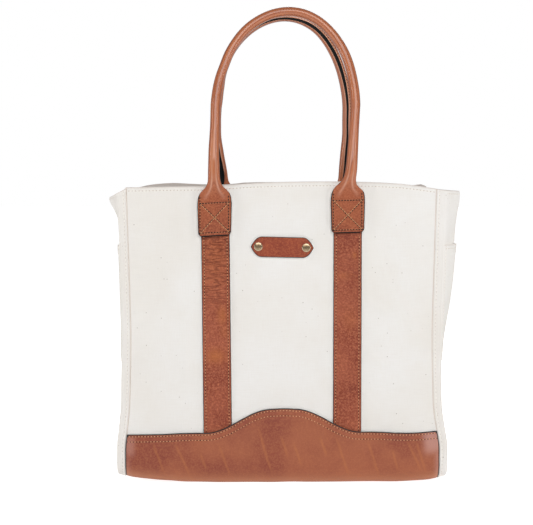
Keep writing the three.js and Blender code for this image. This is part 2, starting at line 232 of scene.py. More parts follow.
LOOSE_FROM = (4, 26)


def smoothstep(value, low, high):
    share = np.clip((value - low) / (high - low), 0, 1)
    return share * share * (3 - 2 * share)


def ridge(value, middle, wide):
    """One at the middle, falling off softly on both sides."""
    return np.exp(-(((value - middle) / wide) ** 2))


def along(rows, column, at):
    """Smooth value of a table's column, with no overshoot between its rows."""
    keys = next(iter(rows.values()))
    values = rows[column]
    slopes = np.diff(values) / np.diff(keys)
    before, after = slopes[:-1], slopes[1:]
    same_way = before * after > 0
    mean = np.where(same_way, 2 * before * after / np.where(same_way, before + after, 1), 0)
    tangents = np.concatenate([slopes[:1], mean, slopes[-1:]])
    at = np.clip(at, keys[0], keys[-1])
    row = np.clip(np.searchsorted(keys, at, side="right") - 1, 0, len(keys) - 2)
    span = keys[row + 1] - keys[row]
    share = (at - keys[row]) / span
    bend = share * (1 - share) * (tangents[row] * (1 - share) - tangents[row + 1] * share) * span
    return values[row] + (values[row + 1] - values[row]) * smoothstep(share, 0, 1) + bend


def body(column, z):
    return along(BODY, column, z)


def skin_depth(x, z):
    """Half depth of the bag's skin at one place on a panel."""
    share = np.clip(np.abs(x / body("half", z)), 0, 1)
    return body("depth", z) + body("belly", z) * (1 - share ** PANEL_ROUND)


def stretched(height, top):
    """Rows are named by their height under a level rim, and stretch near the top to follow the real one."""
    share = np.maximum(height - LEVEL_HEIGHT, 0) / (RIM_HEIGHT - LEVEL_HEIGHT)
    return np.where(height <= LEVEL_HEIGHT, height, LEVEL_HEIGHT + (top - LEVEL_HEIGHT) * share)


RIPPLE_WAVES = 14


def ripples(x, z, length, seed):
    """A soft random swell of about -1 to 1, whose waves are about one length long."""
    draw = np.random.default_rng(seed)
    swell = 0
    for _ in range(RIPPLE_WAVES):
        turn, phase = draw.uniform(0, 2 * math.pi, 2)
        pace = 2 * math.pi / (length * draw.uniform(0.7, 1.5))
        swell = swell + np.cos((x * math.cos(turn) + z * math.sin(turn)) * pace + phase)
    return swell / (1.2 * math.sqrt(RIPPLE_WAVES))


def fold_sink(x, z):
    """Depth of the folds, each a trough along a straight line."""
    sink = 0
    for x0, z0, x1, z1, spread, deep in zip(*FOLDS.values()):
        run = math.hypot(x1 - x0, z1 - z0)
        share = ((x - x0) * (x1 - x0) + (z - z0) * (z1 - z0)) / run ** 2
        aside = ((x - x0) * (z1 - z0) - (z - z0) * (x1 - x0)) / run
        ends = smoothstep(share, -0.2, 0.2) * (1 - smoothstep(share, 0.8, 1.2))
        sink = sink + deep * ends * ridge(aside, 0, spread)
    return sink


def loose(x, z):
    """Nothing where the cloth is held flat by a strap or the tag, and one a little way from them."""
    free = 1.0
    for x0, z0, half_wide, half_high in zip(*HELD_FLAT.values()):
        aside = np.maximum(np.abs(x - x0) - half_wide, 0)
        beyond = np.maximum(np.abs(z - z0) - half_high, 0)
        free = np.minimum(free, smoothstep(np.hypot(aside, beyond), *LOOSE_FROM))
    return free


def panel_sink(x, z, rim):
    """How far the cloth lies inside the skin: folds, a slow swell, and puckers beside the hem and seams."""
    to_seam = body("half", z) - np.abs(x)
    to_rim = rim - z

    def waves(size, x, z):
        return size["deep"] * (1 + ripples(x, z, size["length"], size["seed"]))

    def beside(size, distance):
        return ridge(distance, size["wide"], size["wide"])

    off_edges = smoothstep(to_seam, 0, SWELL["off_seam"]) * smoothstep(to_rim, 0, SWELL["off_rim"])
    swell = waves(SWELL, x, z) * off_edges * (SWELL["held"] + (1 - SWELL["held"]) * loose(x, z))
    seam_pucker = waves(SEAM_PUCKER, 0.35 * x, z) * beside(SEAM_PUCKER, to_seam)
    hem_pucker = waves(HEM_PUCKER, x, 0.3 * z) * beside(HEM_PUCKER, to_rim)
    return fold_sink(x, z) + swell + seam_pucker + hem_pucker


def panel_skin(face):
    """The outer skin of a panel, by its share of the width and its height under a level rim."""
    def skin(share, height):
        rim = along(RIM[face], "height", share * body("half", RIM_HEIGHT))
        z = stretched(height, rim)
        x = share * body("half", z)
        return np.stack([x, panel_sink(x, z, rim) - skin_depth(x, z), z], axis=-1)
    return skin


def hem_inside(across, height):
    fold = RIM_HEIGHT - HEM_DEEP
    turned_in = smoothstep(height, fold - HEM_EASE, fold + HEM_EASE)
    return -(CANVAS_THICK + (HEM_THICK - CANVAS_THICK) * turned_in)


def flush(u, v):
    return np.zeros(np.broadcast(u, v).shape)


TINY = 1e-12


def unit(vectors):
    """The same vectors, one long; one of no length stays as it is."""
    return vectors / np.maximum(np.linalg.norm(vectors, axis=-1, keepdims=True), TINY)


def face_points(surface, distance, u, v, limits=(-np.inf, np.inf, -np.inf, np.inf)):
    """Points at a distance from a surface, its normals there, and its directions along u and v."""
    reach = 1e-3
    low_u, high_u, low_v, high_v = limits
    right = surface(np.minimum(u + reach, high_u), v) - surface(np.maximum(u - reach, low_u), v)
    up = surface(u, np.minimum(v + reach, high_v)) - surface(u, np.maximum(v - reach, low_v))
    right, up = unit(right), unit(up)
    normal = unit(np.cross(right, up))
    return surface(u, v) + normal * distance(u, v)[..., None], normal, right, up


def in_frame(points, turned):
    """From the bag's own millimetres to the shared frame in metres; the back is a front turned half round.
    The foot of the right side is spread a little."""
    placed = points * (np.array([-1, -1, 1]) if turned else np.ones(3))
    x, z = placed[..., 0], placed[..., 2]
    low_down = 1 - smoothstep(z, *RIGHT_FOOT["heights"])
    placed[..., 0] += RIGHT_FOOT["spread"] * smoothstep(x, *RIGHT_FOOT["reach"]) * low_down
    return (placed + [SEAM_MIDDLE, 0, FOOT_HEIGHT]) * MM


SMOOTH_ANGLE = math.radians(50)


def new_piece(name, points, faces, uv=None, marks=None):
    """A mesh object in the shared frame, with a UV map by face corner and its marks as point attributes."""
    mesh = bpy.data.meshes.new(name)
    mesh.from_pydata(points, [], faces)
    if uv is not None:
        layer = mesh.uv_layers.new(name="cloth")
        layer.data.foreach_set("uv", uv.astype(np.float32).ravel())
    for kind, values in (marks or {}).items():
        mesh.attributes.new(kind, "FLOAT", "POINT").data.foreach_set("value", values.astype(np.float32))
    piece = bpy.data.objects.new(name, mesh)
    scene.collection.objects.link(piece)
    bpy.ops.object.select_all(action="DESELECT")
    piece.select_set(True)
    bpy.context.view_layer.objects.active = piece
    bpy.ops.object.shade_smooth_by_angle(angle=SMOOTH_ANGLE)
    return piece


EDGE_ROUNDS = 3


def wall(name, columns, rows, surface, inner, outer, bulge, turned=False, marks=None):
    """A closed sheet with a face at each of two distances from a surface and rounded edges between them.
    Marks are functions of the grid; an edge's own round takes the mark of the border less one."""
    u, v = np.meshgrid(columns, rows)
    limits = (u.min(), u.max(), v.min(), v.max())
    outside, _, right, up = face_points(surface, outer, u, v, limits)
    inside = face_points(surface, inner, u, v, limits)[0]
    high, wide = u.shape
    count = high * wide
    number = np.arange(count).reshape(high, wide)

    quads = np.stack([number[:-1, :-1], number[:-1, 1:], number[1:, 1:], number[1:, :-1]], -1).reshape(-1, 4)
    faces = [quads, quads[:, ::-1] + count]
    border = np.concatenate([number[0, :-1], number[:-1, -1], number[-1, :0:-1], number[:0:-1, 0]])
    out_way = np.zeros_like(outside)
    out_way[0] -= up[0]
    out_way[-1] += up[-1]
    out_way[:, -1] += right[:, -1]
    out_way[:, 0] -= right[:, 0]
    outer_points, inner_points, away = (grid.reshape(-1, 3) for grid in (outside, inside, out_way))
    away = unit(away[border])
    middle = (outer_points[border] + inner_points[border]) / 2
    half_thick = (outer_points[border] - inner_points[border]) / 2
    rings = []
    for step in range(1, EDGE_ROUNDS + 1):
        turn = math.pi * step / (EDGE_ROUNDS + 1)
        rings.append(middle + half_thick * math.cos(turn) + away * bulge * math.sin(turn))
    loops = [border] + [2 * count + k * len(border) + np.arange(len(border)) for k in range(EDGE_ROUNDS)]
    loops.append(border + count)
    for near, far in zip(loops, loops[1:]):
        faces.append(np.stack([near, far, np.roll(far, -1), np.roll(near, -1)], axis=1))

    run = np.linalg.norm(np.diff(outside, axis=1), axis=2)
    climb = np.linalg.norm(np.diff(outside, axis=0), axis=2)
    flat_u = np.concatenate([np.zeros((high, 1)), np.cumsum(run, axis=1)], axis=1)
    flat_u -= flat_u[:, wide // 2: wide // 2 + 1]
    flat_v = np.concatenate([np.zeros((1, wide)), np.cumsum(climb, axis=0)], axis=0)
    uv = np.stack([flat_u, flat_v], axis=-1).reshape(-1, 2) * MM
    uv = np.concatenate([uv, uv] + [uv[border]] * EDGE_ROUNDS)

    marked = {"inner": np.repeat([0, 1, 0], [count, count, EDGE_ROUNDS * len(border)])}
    for kind, value in (marks or {}).items():
        values = np.broadcast_to(value(u, v), u.shape).ravel()
        marked[kind] = np.concatenate([values, values] + [values[border] - 1] * EDGE_ROUNDS)
    points = np.concatenate([outer_points, inner_points, *rings])
    faces = np.concatenate(faces)
    return new_piece(name, in_frame(points, turned), faces.tolist(), uv[faces.ravel()], marked)


def spaced(low, high, step):
    return np.linspace(low, high, max(1, round((high - low) / step)) + 1)


def joined(*runs):
    """The steps of several runs, one after another. Each is given by its ends and its step."""
    return np.concatenate([spaced(*run)[:-1] for run in runs] + [[runs[-1][1]]])


# One stitch and one needle hole's dark cap of painted shade, laid along x on flat cloth, and rows of copies
# of them
STITCH_SIDES = 6
STITCH_RINGS = table(
    "share rise size",
    (-0.5, -0.9, 0.45),
    (-0.36, 0.15, 0.9),
    (0, 0.55, 1),
    (0.36, 0.15, 0.9),
    (0.5, -0.9, 0.45),
)
STITCH_TURNS = np.arange(STITCH_SIDES) * 2 * math.pi / STITCH_SIDES
STITCH_RING = np.arange(STITCH_SIDES)
STITCH_NEXT = np.roll(STITCH_RING, -1)
HOLE_CAP = {"lift": 0.03, "crown": 0.07, "root": -0.3}


def stitch_shape(pitch, thread, cover, **other):
    """A stitch whose ends go down into the cloth: points, faces, and a mark for how near an end is."""
    count = len(STITCH_RINGS["share"])
    share = np.repeat(STITCH_RINGS["share"], STITCH_SIDES)
    size = np.repeat(STITCH_RINGS["size"], STITCH_SIDES) * thread / 2
    lift = np.repeat(STITCH_RINGS["rise"], STITCH_SIDES) * thread / 2
    points = np.stack([share * pitch * cover, np.tile(np.cos(STITCH_TURNS), count) * size,
                       np.tile(np.sin(STITCH_TURNS), count) * size + lift], axis=1)
    around = np.stack([STITCH_RING, STITCH_NEXT], axis=1)
    tube = np.concatenate([around, around[:, ::-1] + STITCH_SIDES], axis=1)
    faces = []
    for k in range(count - 1):
        faces.extend((tube + k * STITCH_SIDES).tolist())
    faces.append(STITCH_RING[::-1].tolist())
    faces.append((STITCH_RING + (count - 1) * STITCH_SIDES).tolist())
    return points, faces, np.abs(share)


def hole_shape(hole, slot, beside=0.0, **other):
    """A low dark cap sunk into the cloth, as painted shade in a needle hole or, set aside, in the groove
    beside a tight stitch.
    """
    rim = np.stack([slot * np.cos(STITCH_TURNS), np.sin(STITCH_TURNS), 0 * STITCH_TURNS], axis=1) * hole / 2
    ends = [[0, 0, HOLE_CAP["crown"]], [0, 0, HOLE_CAP["root"]]]
    points = np.concatenate([rim, ends]) + [0, beside, HOLE_CAP["lift"]]
    above = [[k, ahead, STITCH_SIDES] for k, ahead in zip(STITCH_RING, STITCH_NEXT)]
    below = [[ahead, k, STITCH_SIDES + 1] for k, ahead in zip(STITCH_RING, STITCH_NEXT)]
    return points, above + below, np.ones(len(points))


def on_path(values, keys, at):
    """Values of three parts each, read between the keys of their rows."""
    return np.stack([np.interp(at, keys, values[:, axis]) for axis in range(3)], axis=1)


def lengths_along(path):
    return np.concatenate([[0], np.cumsum(np.linalg.norm(np.diff(path, axis=0), axis=1))])


def sewn(name, rows, sewing, turned=False):
    """One object of stitches and the dark hole caps between them. A row is points along a seam and its
    normals.
    """
    points, faces, strands = [], [], []
    start = 0
    pitch = sewing["pitch"]
    shapes = ((stitch_shape(**sewing), 0.5), (hole_shape(**sewing), 0))
    for path, normals in rows:
        lengths = lengths_along(path)
        count = max(1, int(lengths[-1] / pitch))
        for (shape, shape_faces, strand), first in shapes:
            places = np.arange(first, count + 0.25) * lengths[-1] / count
            behind, before = (on_path(path, lengths, places + step) for step in (-pitch / 4, pitch / 4))
            ahead = unit(before - behind)
            out = on_path(normals, lengths, places)
            out = unit(out - ahead * np.sum(out * ahead, axis=1, keepdims=True))
            axes = np.stack([ahead, np.cross(out, ahead), out], axis=1)
            made = on_path(path, lengths, places)[:, None] + shape @ axes
            for _ in places:
                faces.extend([corner + start for corner in face] for face in shape_faces)
                start += len(shape)
            points.append(made.reshape(-1, 3))
            strands.append(np.tile(strand, len(places)))
    points = np.concatenate(points)
    return new_piece(name, in_frame(points, turned), faces, marks={"strand": np.concatenate(strands)})


def seam_row(surface, distance, u, v):
    """A row for sewn: the points and normals of a line on a surface, along u, along v or along both."""
    u, v = np.broadcast_arrays(np.asarray(u, float), np.asarray(v, float))
    points, normals, _, _ = face_points(surface, distance, u, v)
    return points, normals


def maths(tree, operation, a, b=0.0):
    return add(tree, "Math", {0: a, 1: b}, operation=operation).outputs[0]


def remap(tree, value, low, high, to_low=0.0, to_high=1.0):
    """A value eased from one range to another and held at its ends."""
    made = add(tree, "MapRange", {"Value": value, 1: low, 2: high, 3: to_low, 4: to_high},
               interpolation_type="SMOOTHSTEP")
    return made.outputs[0]


def blended(tree, share, a, b):
    """One colour blended into another by a share."""
    return add(tree, "Mix", {0: share, 6: a, 7: b}, data_type="RGBA").outputs[2]


def cloudy(tree, place, scale, detail=3.0, rough=0.55):
    made = add(tree, "TexNoise", {"Vector": place, "Scale": scale, "Detail": detail, "Roughness": rough})
    return made.outputs["Fac"]


def scaled(tree, place, scale):
    return add(tree, "Mapping", {"Vector": place, "Scale": scale}).outputs[0]


def mark(tree, name):
    """A piece's own point attribute, which is nothing on a piece without it."""
    return add(tree, "Attribute", attribute_name=name).outputs["Fac"]


def new_group(name, inputs, outputs):
    """An empty shader node group, its input node and its output node."""
    tree = bpy.data.node_groups.new(name, "ShaderNodeTree")
    for socket, kind in inputs.items():
        tree.interface.new_socket(socket, in_out="INPUT", socket_type="NodeSocket" + kind)
    for socket in outputs:
        tree.interface.new_socket(socket, in_out="OUTPUT", socket_type="NodeSocketFloat")
    return tree, tree.nodes.new("NodeGroupInput"), tree.nodes.new("NodeGroupOutput")


def new_material(name, roughness, specular):
    material = bpy.data.materials.new(name)
    material.use_nodes = True
    shader = material.node_tree.nodes["Principled BSDF"]
    shader.inputs["Roughness"].default_value = roughness
    shader.inputs["Specular IOR Level"].default_value = specular
    return material, material.node_tree, shader


def srgb(red, green, blue):
    """A colour named by its screen values, as a linear one."""
    parts = [part / 255 for part in (red, green, blue)]
    return tuple(p / 12.92 if p <= 0.04045 else ((p + 0.055) / 1.055) ** 2.4 for p in parts) + (1,)


def plain_weave():
    """Threads that pass over and under each other; Place counts threads, Height is the cloth's relief."""
    tree, given, put_out = new_group("plain_weave", {"Place": "Vector"}, ["Height"])
    parts = add(tree, "SeparateXYZ", {0: given.outputs["Place"]}).outputs
    crown = [maths(tree, "ABSOLUTE", maths(tree, "SINE", maths(tree, "MULTIPLY", parts[k], math.pi)))
             for k in (0, 1)]
    slack = [maths(tree, "SQRT", value) for value in crown]
    warp = maths(tree, "MULTIPLY", crown[0], slack[1])
    weft = maths(tree, "MULTIPLY", crown[1], slack[0])
    cells = maths(tree, "ADD", maths(tree, "FLOOR", parts[0]), maths(tree, "FLOOR", parts[1]))
    over = maths(tree, "PINGPONG", cells, 1.0)
    lifted = add(tree, "Mix", {0: over, 2: warp, 3: weft}).outputs[0]
    tree.links.new(lifted, put_out.inputs["Height"])
    return tree


THREAD_PITCH = (0.00095, 0.00115)
CANVAS_TONES = {
    "pale": srgb(235, 233, 230),
    "cream": srgb(231, 227, 221),
    "slub": srgb(218, 210, 200),
    "fleck": srgb(140, 128, 112),
    "offset": srgb(254, 251, 246),
    # The inner tone is painted shade: the cloth's inner side is darkened and browned with it.
    "inner": srgb(172, 150, 136),
    # This tone is the seam's own colour, and also painted shade along hem folds and over the side panels.
    "seam": srgb(174, 142, 122),
}
SHELTER_REACH = 0.01


def canvas_cloth():
    """Undyed cotton canvas: uneven threads, dark flecks of seed husk, and a warmer tone beside a seam.
    Painted shade lies along hem folds and over the side panels, and the inner side is painted darker and
    browner as shade. Close to another piece it is made paler, to offset the shade that falls there."""
    material, tree, shader = new_material("canvas_cloth", 0.92, 0.15)
    tones = CANVAS_TONES
    cloth = add(tree, "UVMap", uv_map="cloth").outputs[0]
    place = add(tree, "TexCoord").outputs["Object"]
    counted = scaled(tree, cloth, (1 / THREAD_PITCH[0], 1 / THREAD_PITCH[1], 1))
    weave = add(tree, "Group", {"Place": counted}, node_tree=plain_weave())

    upright = cloudy(tree, scaled(tree, cloth, (800, 60, 1)), 1.0, 2.0)
    level = cloudy(tree, scaled(tree, cloth, (60, 700, 1)), 1.0, 2.0)
    threads = maths(tree, "ADD", upright, level)
    tone = blended(tree, remap(tree, cloudy(tree, place, 9.0), 0.3, 0.7), tones["pale"], tones["cream"])
    tone = blended(tree, remap(tree, threads, 0.75, 1.3, 0.0, 0.14), tone, tones["slub"])

    flecks = add(tree, "TexVoronoi", {"Vector": cloth, "Scale": 260.0}, voronoi_dimensions="2D")
    drawn = add(tree, "SeparateColor", {0: flecks.outputs["Color"]}).outputs
    strength = maths(tree, "MULTIPLY", maths(tree, "GREATER_THAN", drawn[0], 0.988), drawn[1])
    dot = remap(tree, flecks.outputs["Distance"], 0.08, 0.2, 0.9, 0.0)
    tone = blended(tree, maths(tree, "MULTIPLY", strength, dot), tone, tones["fleck"])
    open_share = add(tree, "AmbientOcclusion", {"Distance": SHELTER_REACH}, samples=8).outputs["AO"]
    tone = blended(tree, remap(tree, open_share, 0.6, 0.97, 1.0, 0.0), tone, tones["offset"])
    # Painted shade: the whole inner side is darkened towards the inner tone.
    tone = blended(tree, maths(tree, "MULTIPLY", mark(tree, "inner"), 0.32), tone, tones["inner"])
    # The seam's own darker, warmer tone, and painted shade by the same mark along hem folds and side panels.
    tone = blended(tree, maths(tree, "MULTIPLY", mark(tree, "seam"), 0.85), tone, tones["seam"])
    tree.links.new(tone, shader.inputs["Base Color"])

    relief = maths(tree, "ADD", weave.outputs["Height"], maths(tree, "MULTIPLY", threads, 0.7))
    bump = add(tree, "Bump", {"Strength": 0.25, "Distance": 0.0003, "Height": relief})
    tree.links.new(bump.outputs[0], shader.inputs["Normal"])
    shader.inputs["Sheen Weight"].default_value = 0.08
    shader.inputs["Sheen Roughness"].default_value = 0.6
    return material


def spun_thread(name, light, dark, hole):
    """Waxed thread: its twist shows as fine slanting bands. A stitch is painted darker towards its ends as
    shade, and its sunk hole caps take the hole tone as painted shade.
    """
    material, tree, shader = new_material(name, 0.6, 0.3)
    place = add(tree, "TexCoord").outputs["Object"]
    twist = add(tree, "TexWave", {"Vector": place, "Scale": 900.0, "Distortion": 1.5}).outputs["Fac"]
    # Painted shade: the stitch darkens towards its ends, where it goes down into the cloth.
    depth = remap(tree, mark(tree, "strand"), 0.3, 0.5)
    shade = maths(tree, "MAXIMUM", depth, maths(tree, "MULTIPLY", twist, 0.35))
    tone = blended(tree, shade, light, dark)
    # Painted shade: the sunk hole caps take the dark hole tone.
    tone = blended(tree, remap(tree, mark(tree, "strand"), 0.6, 0.9), tone, hole)
    tree.links.new(tone, shader.inputs["Base Color"])
    return material


canvas_material = canvas_cloth()
cloth_thread = spun_thread("cloth_thread", srgb(235, 229, 221), srgb(218, 208, 198), srgb(201, 188, 177))
# Painted shade along the top of folded hems.
RIM_SHADE = {"share": 0.35, "wide": 1.2}
SEAM_LINE = 0.45
RIM_HALF = BODY["half"][-1]


def rim_shade(height, rim):
    """Painted shade along the top of a hem's folded edge."""
    return RIM_SHADE["share"] * ridge(height, rim, RIM_SHADE["wide"])


def beside_seam(across, height):
    """One at a panel's two side edges, less along its rim as painted shade, and nothing a few millimetres
    away.
    """
    return np.maximum(ridge(RIM_HALF * np.abs(across), RIM_HALF, SEAM_LINE), rim_shade(height, RIM_HEIGHT))


def finish_cloth(piece, node):
    piece.data.materials.append(canvas_material)
    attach(piece, "root")
    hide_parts(node)


def finish_thread(piece, material):
    piece.data.materials.append(material)
    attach(piece, "root")


edge_steps = np.array([0, 0.4, 0.8, 1.2, 1.8, 2.6]) / RIM_HALF
inner_columns = spaced(-1, 1, PANEL_STEP / RIM_HALF)[2:-2]
panel_columns = np.concatenate([-1 + edge_steps, inner_columns, 1 - edge_steps[::-1]])
hem_run = (HEM_START, RIM_HEIGHT, HEM_STEP)
panel_rows = joined((PANEL_FOOT, HEM_START, PANEL_STEP), hem_run)
for face in ("front", "back"):
    turned = face == "back"
    skin = panel_skin(face)
    panel = wall(f"{face}_panel", panel_columns, panel_rows, skin, hem_inside, flush, PANEL_BULGE,
                 turned=turned, marks={"seam": beside_seam})
    finish_cloth(panel, f"canvas_{face}")
    level = np.linspace(-HEM_REACH, HEM_REACH, HEM_POINTS)
    rows = [seam_row(skin, flush, level, RIM_HEIGHT - HEM_ROW_DOWN)]
    stitches = sewn(f"{face}_hem_stitches", rows, HEM_SEWING, turned=turned)
    finish_thread(stitches, cloth_thread)


# The side panels: one strip of the same canvas on each side, sewn to both panels. The seam's turnings are
# folded outwards into a flat band beside the seam and topstitched. The foot is rounded, the mouth flares.
GAP = 0.3
SEAM_GAP = 0.6
EDGE_RADIUS = 22
FLAT_REACH = 125
CORNER_LIFT = table(
    "inward left right",
    (0, 7.6, 3.4),
    (8, 5.9, 1.9),
    (15, 5.2, 0.9),
    (23, 4.5, 0.4),
    (30, 4.1, 0.1),
    (38, 3.3, 0),
    (46, 2.7, 0),
    (60, 2, 0),
    (76, 0.9, 0),
    (100, 0.3, 0),
    (116, 0, 0),
)
BASE_THICK = 2.2
FLARE_ROUND = 1.6
MOUTH_DIP = {"left": 5.4, "right": 1.9}
BAND_DIP = {"left": 6.6, "right": 1.9}
BAND_DIP_ROUND = 0.7
BAND_ROW = 3.3
BAND_FOLD = {"rise": 0.9, "out": 1.4, "wide": 1.1}
BAND_DRAW = {"sink": 0.4, "wide": 0.9}
BAND_PUCKER = {"deep": 0.2, "length": 13, "seed": 9, "wide": 4}
SIDE_HANG = {"deep": 0.8, "length": 80, "seed": 11, "fades": (0.1, 0.4)}
SIDE_HALF = 64
SIDE_SPREAD = 60
# Painted shade: a faint warm darkening over the whole side panel.
SIDE_SHADE = 0.045
SIDE_ROWS_FROM = 30
GUSSET_BULGE = 0.4
BAND_ENDS = {"foot": 6, "rim": 3, "points": 300}
MOUTH_ENDS = {"reach": 0.9, "points": 120}
VALLEY = {"share": 0.5, "wide": 0.4}
BAND_SEWING = {"pitch": 4.9, "thread": 0.8, "cover": 0.5, "hole": 1.2, "slot": 1.7}
SIDE_SECTION = table(
    "across out",
    (0, 10.5),
    (0.6, 10.6),
    (0.9, 10.9),
    (0.96, 10),
    (0.985, 6.5),
    (1, 0),
)
FLARE = table(
    "height left right",
    (40, 0, 1.5),
    (100, 1.5, 2),
    (132, 4, 4.4),
    (168, 2, 8),
    (194, 1.3, 13),
    (227, 1.6, 18),
    (303, 2, 22.5),
    (318, 2.6, 23.5),
    (331, 4.6, 24.5),
    (345, 8.6, 25.5),
    (360, 14.4, 26.3),
    (381, 14, 26.5),
)
FOOT_ROLL = table(
    "up out",
    (0, 0),
    (1.2, 0.5),
    (4, 0.9),
    (10, 1),
)


def floor_under(x):
    """Height of the skin's floor, which lifts towards the corners."""
    skin_floor = BASE_THICK + GAP - FOOT_HEIGHT
    lifts = [along(CORNER_LIFT, side, BODY["half"][0] - np.abs(x)) for side in ("left", "right")]
    return skin_floor + np.where(x < 0, *lifts)


SIDE_FLOOR = {side: float(floor_under(way * BODY["half"][0])) - GAP - BASE_THICK
              for side, way in (("left", -1), ("right", 1))}


def from_seam(across):
    return along(SIDE_SECTION, "out", np.abs(across))


def gusset_skin(mouth):
    """The smooth skin of a side panel, as it stands on the right."""
    def skin(across, height):
        front_corner, back_corner = RIM["front"]["height"][-1], RIM["front"]["height"][0]
        corner = front_corner + (back_corner - front_corner) * (across + 1) / 2
        swell = 1 - np.abs(across) ** FLARE_ROUND
        band = from_seam(across)
        band_share = (band / SIDE_SECTION["out"][0]) ** BAND_DIP_ROUND
        z = stretched(height, corner - (MOUTH_DIP[mouth] * swell + BAND_DIP[mouth] * band_share))
        up = z - SIDE_FLOOR[mouth]
        arc = np.clip(EDGE_RADIUS - up, 0, EDGE_RADIUS)
        depth = body("depth", z) - EDGE_RADIUS + np.sqrt(EDGE_RADIUS ** 2 - arc ** 2)
        x = body("half", z) + SEAM_GAP + band * along(FOOT_ROLL, "out", up) + along(FLARE, mouth, z) * swell
        return np.stack([x, across * depth, z], axis=-1)
    return skin


def band_relief(across, height):
    """The band's folded edge stands proud, its row of thread draws it in, and the wide face hangs soft."""
    out = from_seam(across)
    fold = BAND_FOLD["rise"] * ridge(out, BAND_FOLD["out"], BAND_FOLD["wide"])
    drawn_in = BAND_DRAW["sink"] * ridge(out, BAND_ROW, BAND_DRAW["wide"])
    waves = ripples(height, 2 * out, BAND_PUCKER["length"], BAND_PUCKER["seed"])
    pucker = BAND_PUCKER["deep"] * waves * ridge(out, BAND_ROW, BAND_PUCKER["wide"])
    slack = 1 + ripples(SIDE_SPREAD * across, height, SIDE_HANG["length"], SIDE_HANG["seed"])
    hang = SIDE_HANG["deep"] * slack * smoothstep(1 - np.abs(across), *SIDE_HANG["fades"])
    return fold - drawn_in + pucker - hang


def gusset_inside(across, height):
    return hem_inside(across, height) + np.minimum(band_relief(across, height), 0)


def at_valley(across, height):
    """Darkest in the seam, with painted shade in a warmer tone over the whole side panel and along its rim.
    """
    valley = VALLEY["share"] * ridge(from_seam(across), 0, VALLEY["wide"])
    return np.maximum(SIDE_SHADE, np.maximum(valley, rim_shade(height, RIM_HEIGHT)))


def both_ways(half):
    """Steps from nothing outwards, and the same the other way."""
    return np.concatenate([-half[:0:-1], half])


band_steps = np.array([0, 1.2, 2.5, 4, 5.5, 7, 9, 11, 13, 15, 18, 21, 25, 30, 35, 40, 50, 60, 80]) / 1000
half_columns = np.concatenate([spaced(0, 0.9, PANEL_STEP / SIDE_HALF), 1 - band_steps[::-1]])
gusset_columns = both_ways(half_columns)
near_seam = np.linspace(0.9, 1, 400)
band_across = np.interp(-BAND_ROW, -from_seam(near_seam), near_seam)
foot_rows = np.array([0, 0.4, 0.8, 1.2, 2, 3, 4, 6, 8, 10, 13, 16, 19, EDGE_RADIUS])
face_rows = joined((SIDE_ROWS_FROM, HEM_START, PANEL_STEP), hem_run)
for mouth in ("left", "right"):
    skin = gusset_skin(mouth)
    turned = mouth == "left"
    gusset_rows = np.concatenate([SIDE_FLOOR[mouth] + foot_rows, face_rows])
    gusset = wall(f"{mouth}_gusset", gusset_columns, gusset_rows, skin, gusset_inside, band_relief,
                  GUSSET_BULGE, turned=turned, marks={"seam": at_valley})
    finish_cloth(gusset, f"gusset_{mouth}")
    foot_line, rim_end = SIDE_FLOOR[mouth] + BAND_ENDS["foot"], RIM_HEIGHT - BAND_ENDS["rim"]
    climb = np.linspace(foot_line, rim_end, BAND_ENDS["points"])
    level = np.linspace(-MOUTH_ENDS["reach"], MOUTH_ENDS["reach"], MOUTH_ENDS["points"])
    rows = [seam_row(skin, band_relief, way * band_across, climb) for way in (-1, 1)]
    rows.append(seam_row(skin, band_relief, level, RIM_HEIGHT - HEM_ROW_DOWN))
    stitches = sewn(f"{mouth}_gusset_stitches", rows, BAND_SEWING, turned=turned)
    finish_thread(stitches, cloth_thread)


# The slip pockets: a patch of canvas on each side panel, sewn down at both edges and the foot. The mouth is
# hemmed with one row of thread and stands a little slack.
POCKET = {"foot": 150, "fine_from": 285, "mouth": 301, "reach": 0.95, "slack": 0.8, "hem": 12,
          "hem_thick": 2.1}
POCKET_SEAT = {"clear": 0.05, "pressed": 0.25, "side_ease": 0.12, "foot_ease": 14}
POCKET_HANG = {"deep": 0.3, "length": 60, "seed": 13}
POCKET_ROW_IN = 0.045
POCKET_FOOT_ROW = 3
POCKET_ROW_POINTS = 120
POCKET_BULGE = 0.3


def off_sides(across):
    return 1 - (across / POCKET["reach"]) ** 2


def pocket_inside(across, z):
    slack = POCKET["slack"] * smoothstep(z, POCKET["foot"], POCKET["mouth"]) * off_sides(across)
    return band_relief(across, z) + POCKET_SEAT["clear"] + slack


def pocket_outside(across, z):
    """The hem at the mouth is doubled. At the sewn sides and foot the cloth is pressed thin."""
    fold = POCKET["mouth"] - POCKET["hem"]
    thick = CANVAS_THICK + (POCKET["hem_thick"] - CANVAS_THICK) * smoothstep(z, fold - 1, fold + 1)
    aside = smoothstep(POCKET["reach"] - np.abs(across), 0, POCKET_SEAT["side_ease"])
    above = smoothstep(z, POCKET["foot"], POCKET["foot"] + POCKET_SEAT["foot_ease"])
    waves = ripples(SIDE_SPREAD * across, z, POCKET_HANG["length"], POCKET_HANG["seed"])
    hang = POCKET_HANG["deep"] * waves * off_sides(across)
    return pocket_inside(across, z) + POCKET_SEAT["pressed"] + (thick + hang) * aside * above


# Painted shade along the fold at the pocket's mouth.
def mouth_shade(across, z):
    return rim_shade(z, POCKET["mouth"]) + 0 * across


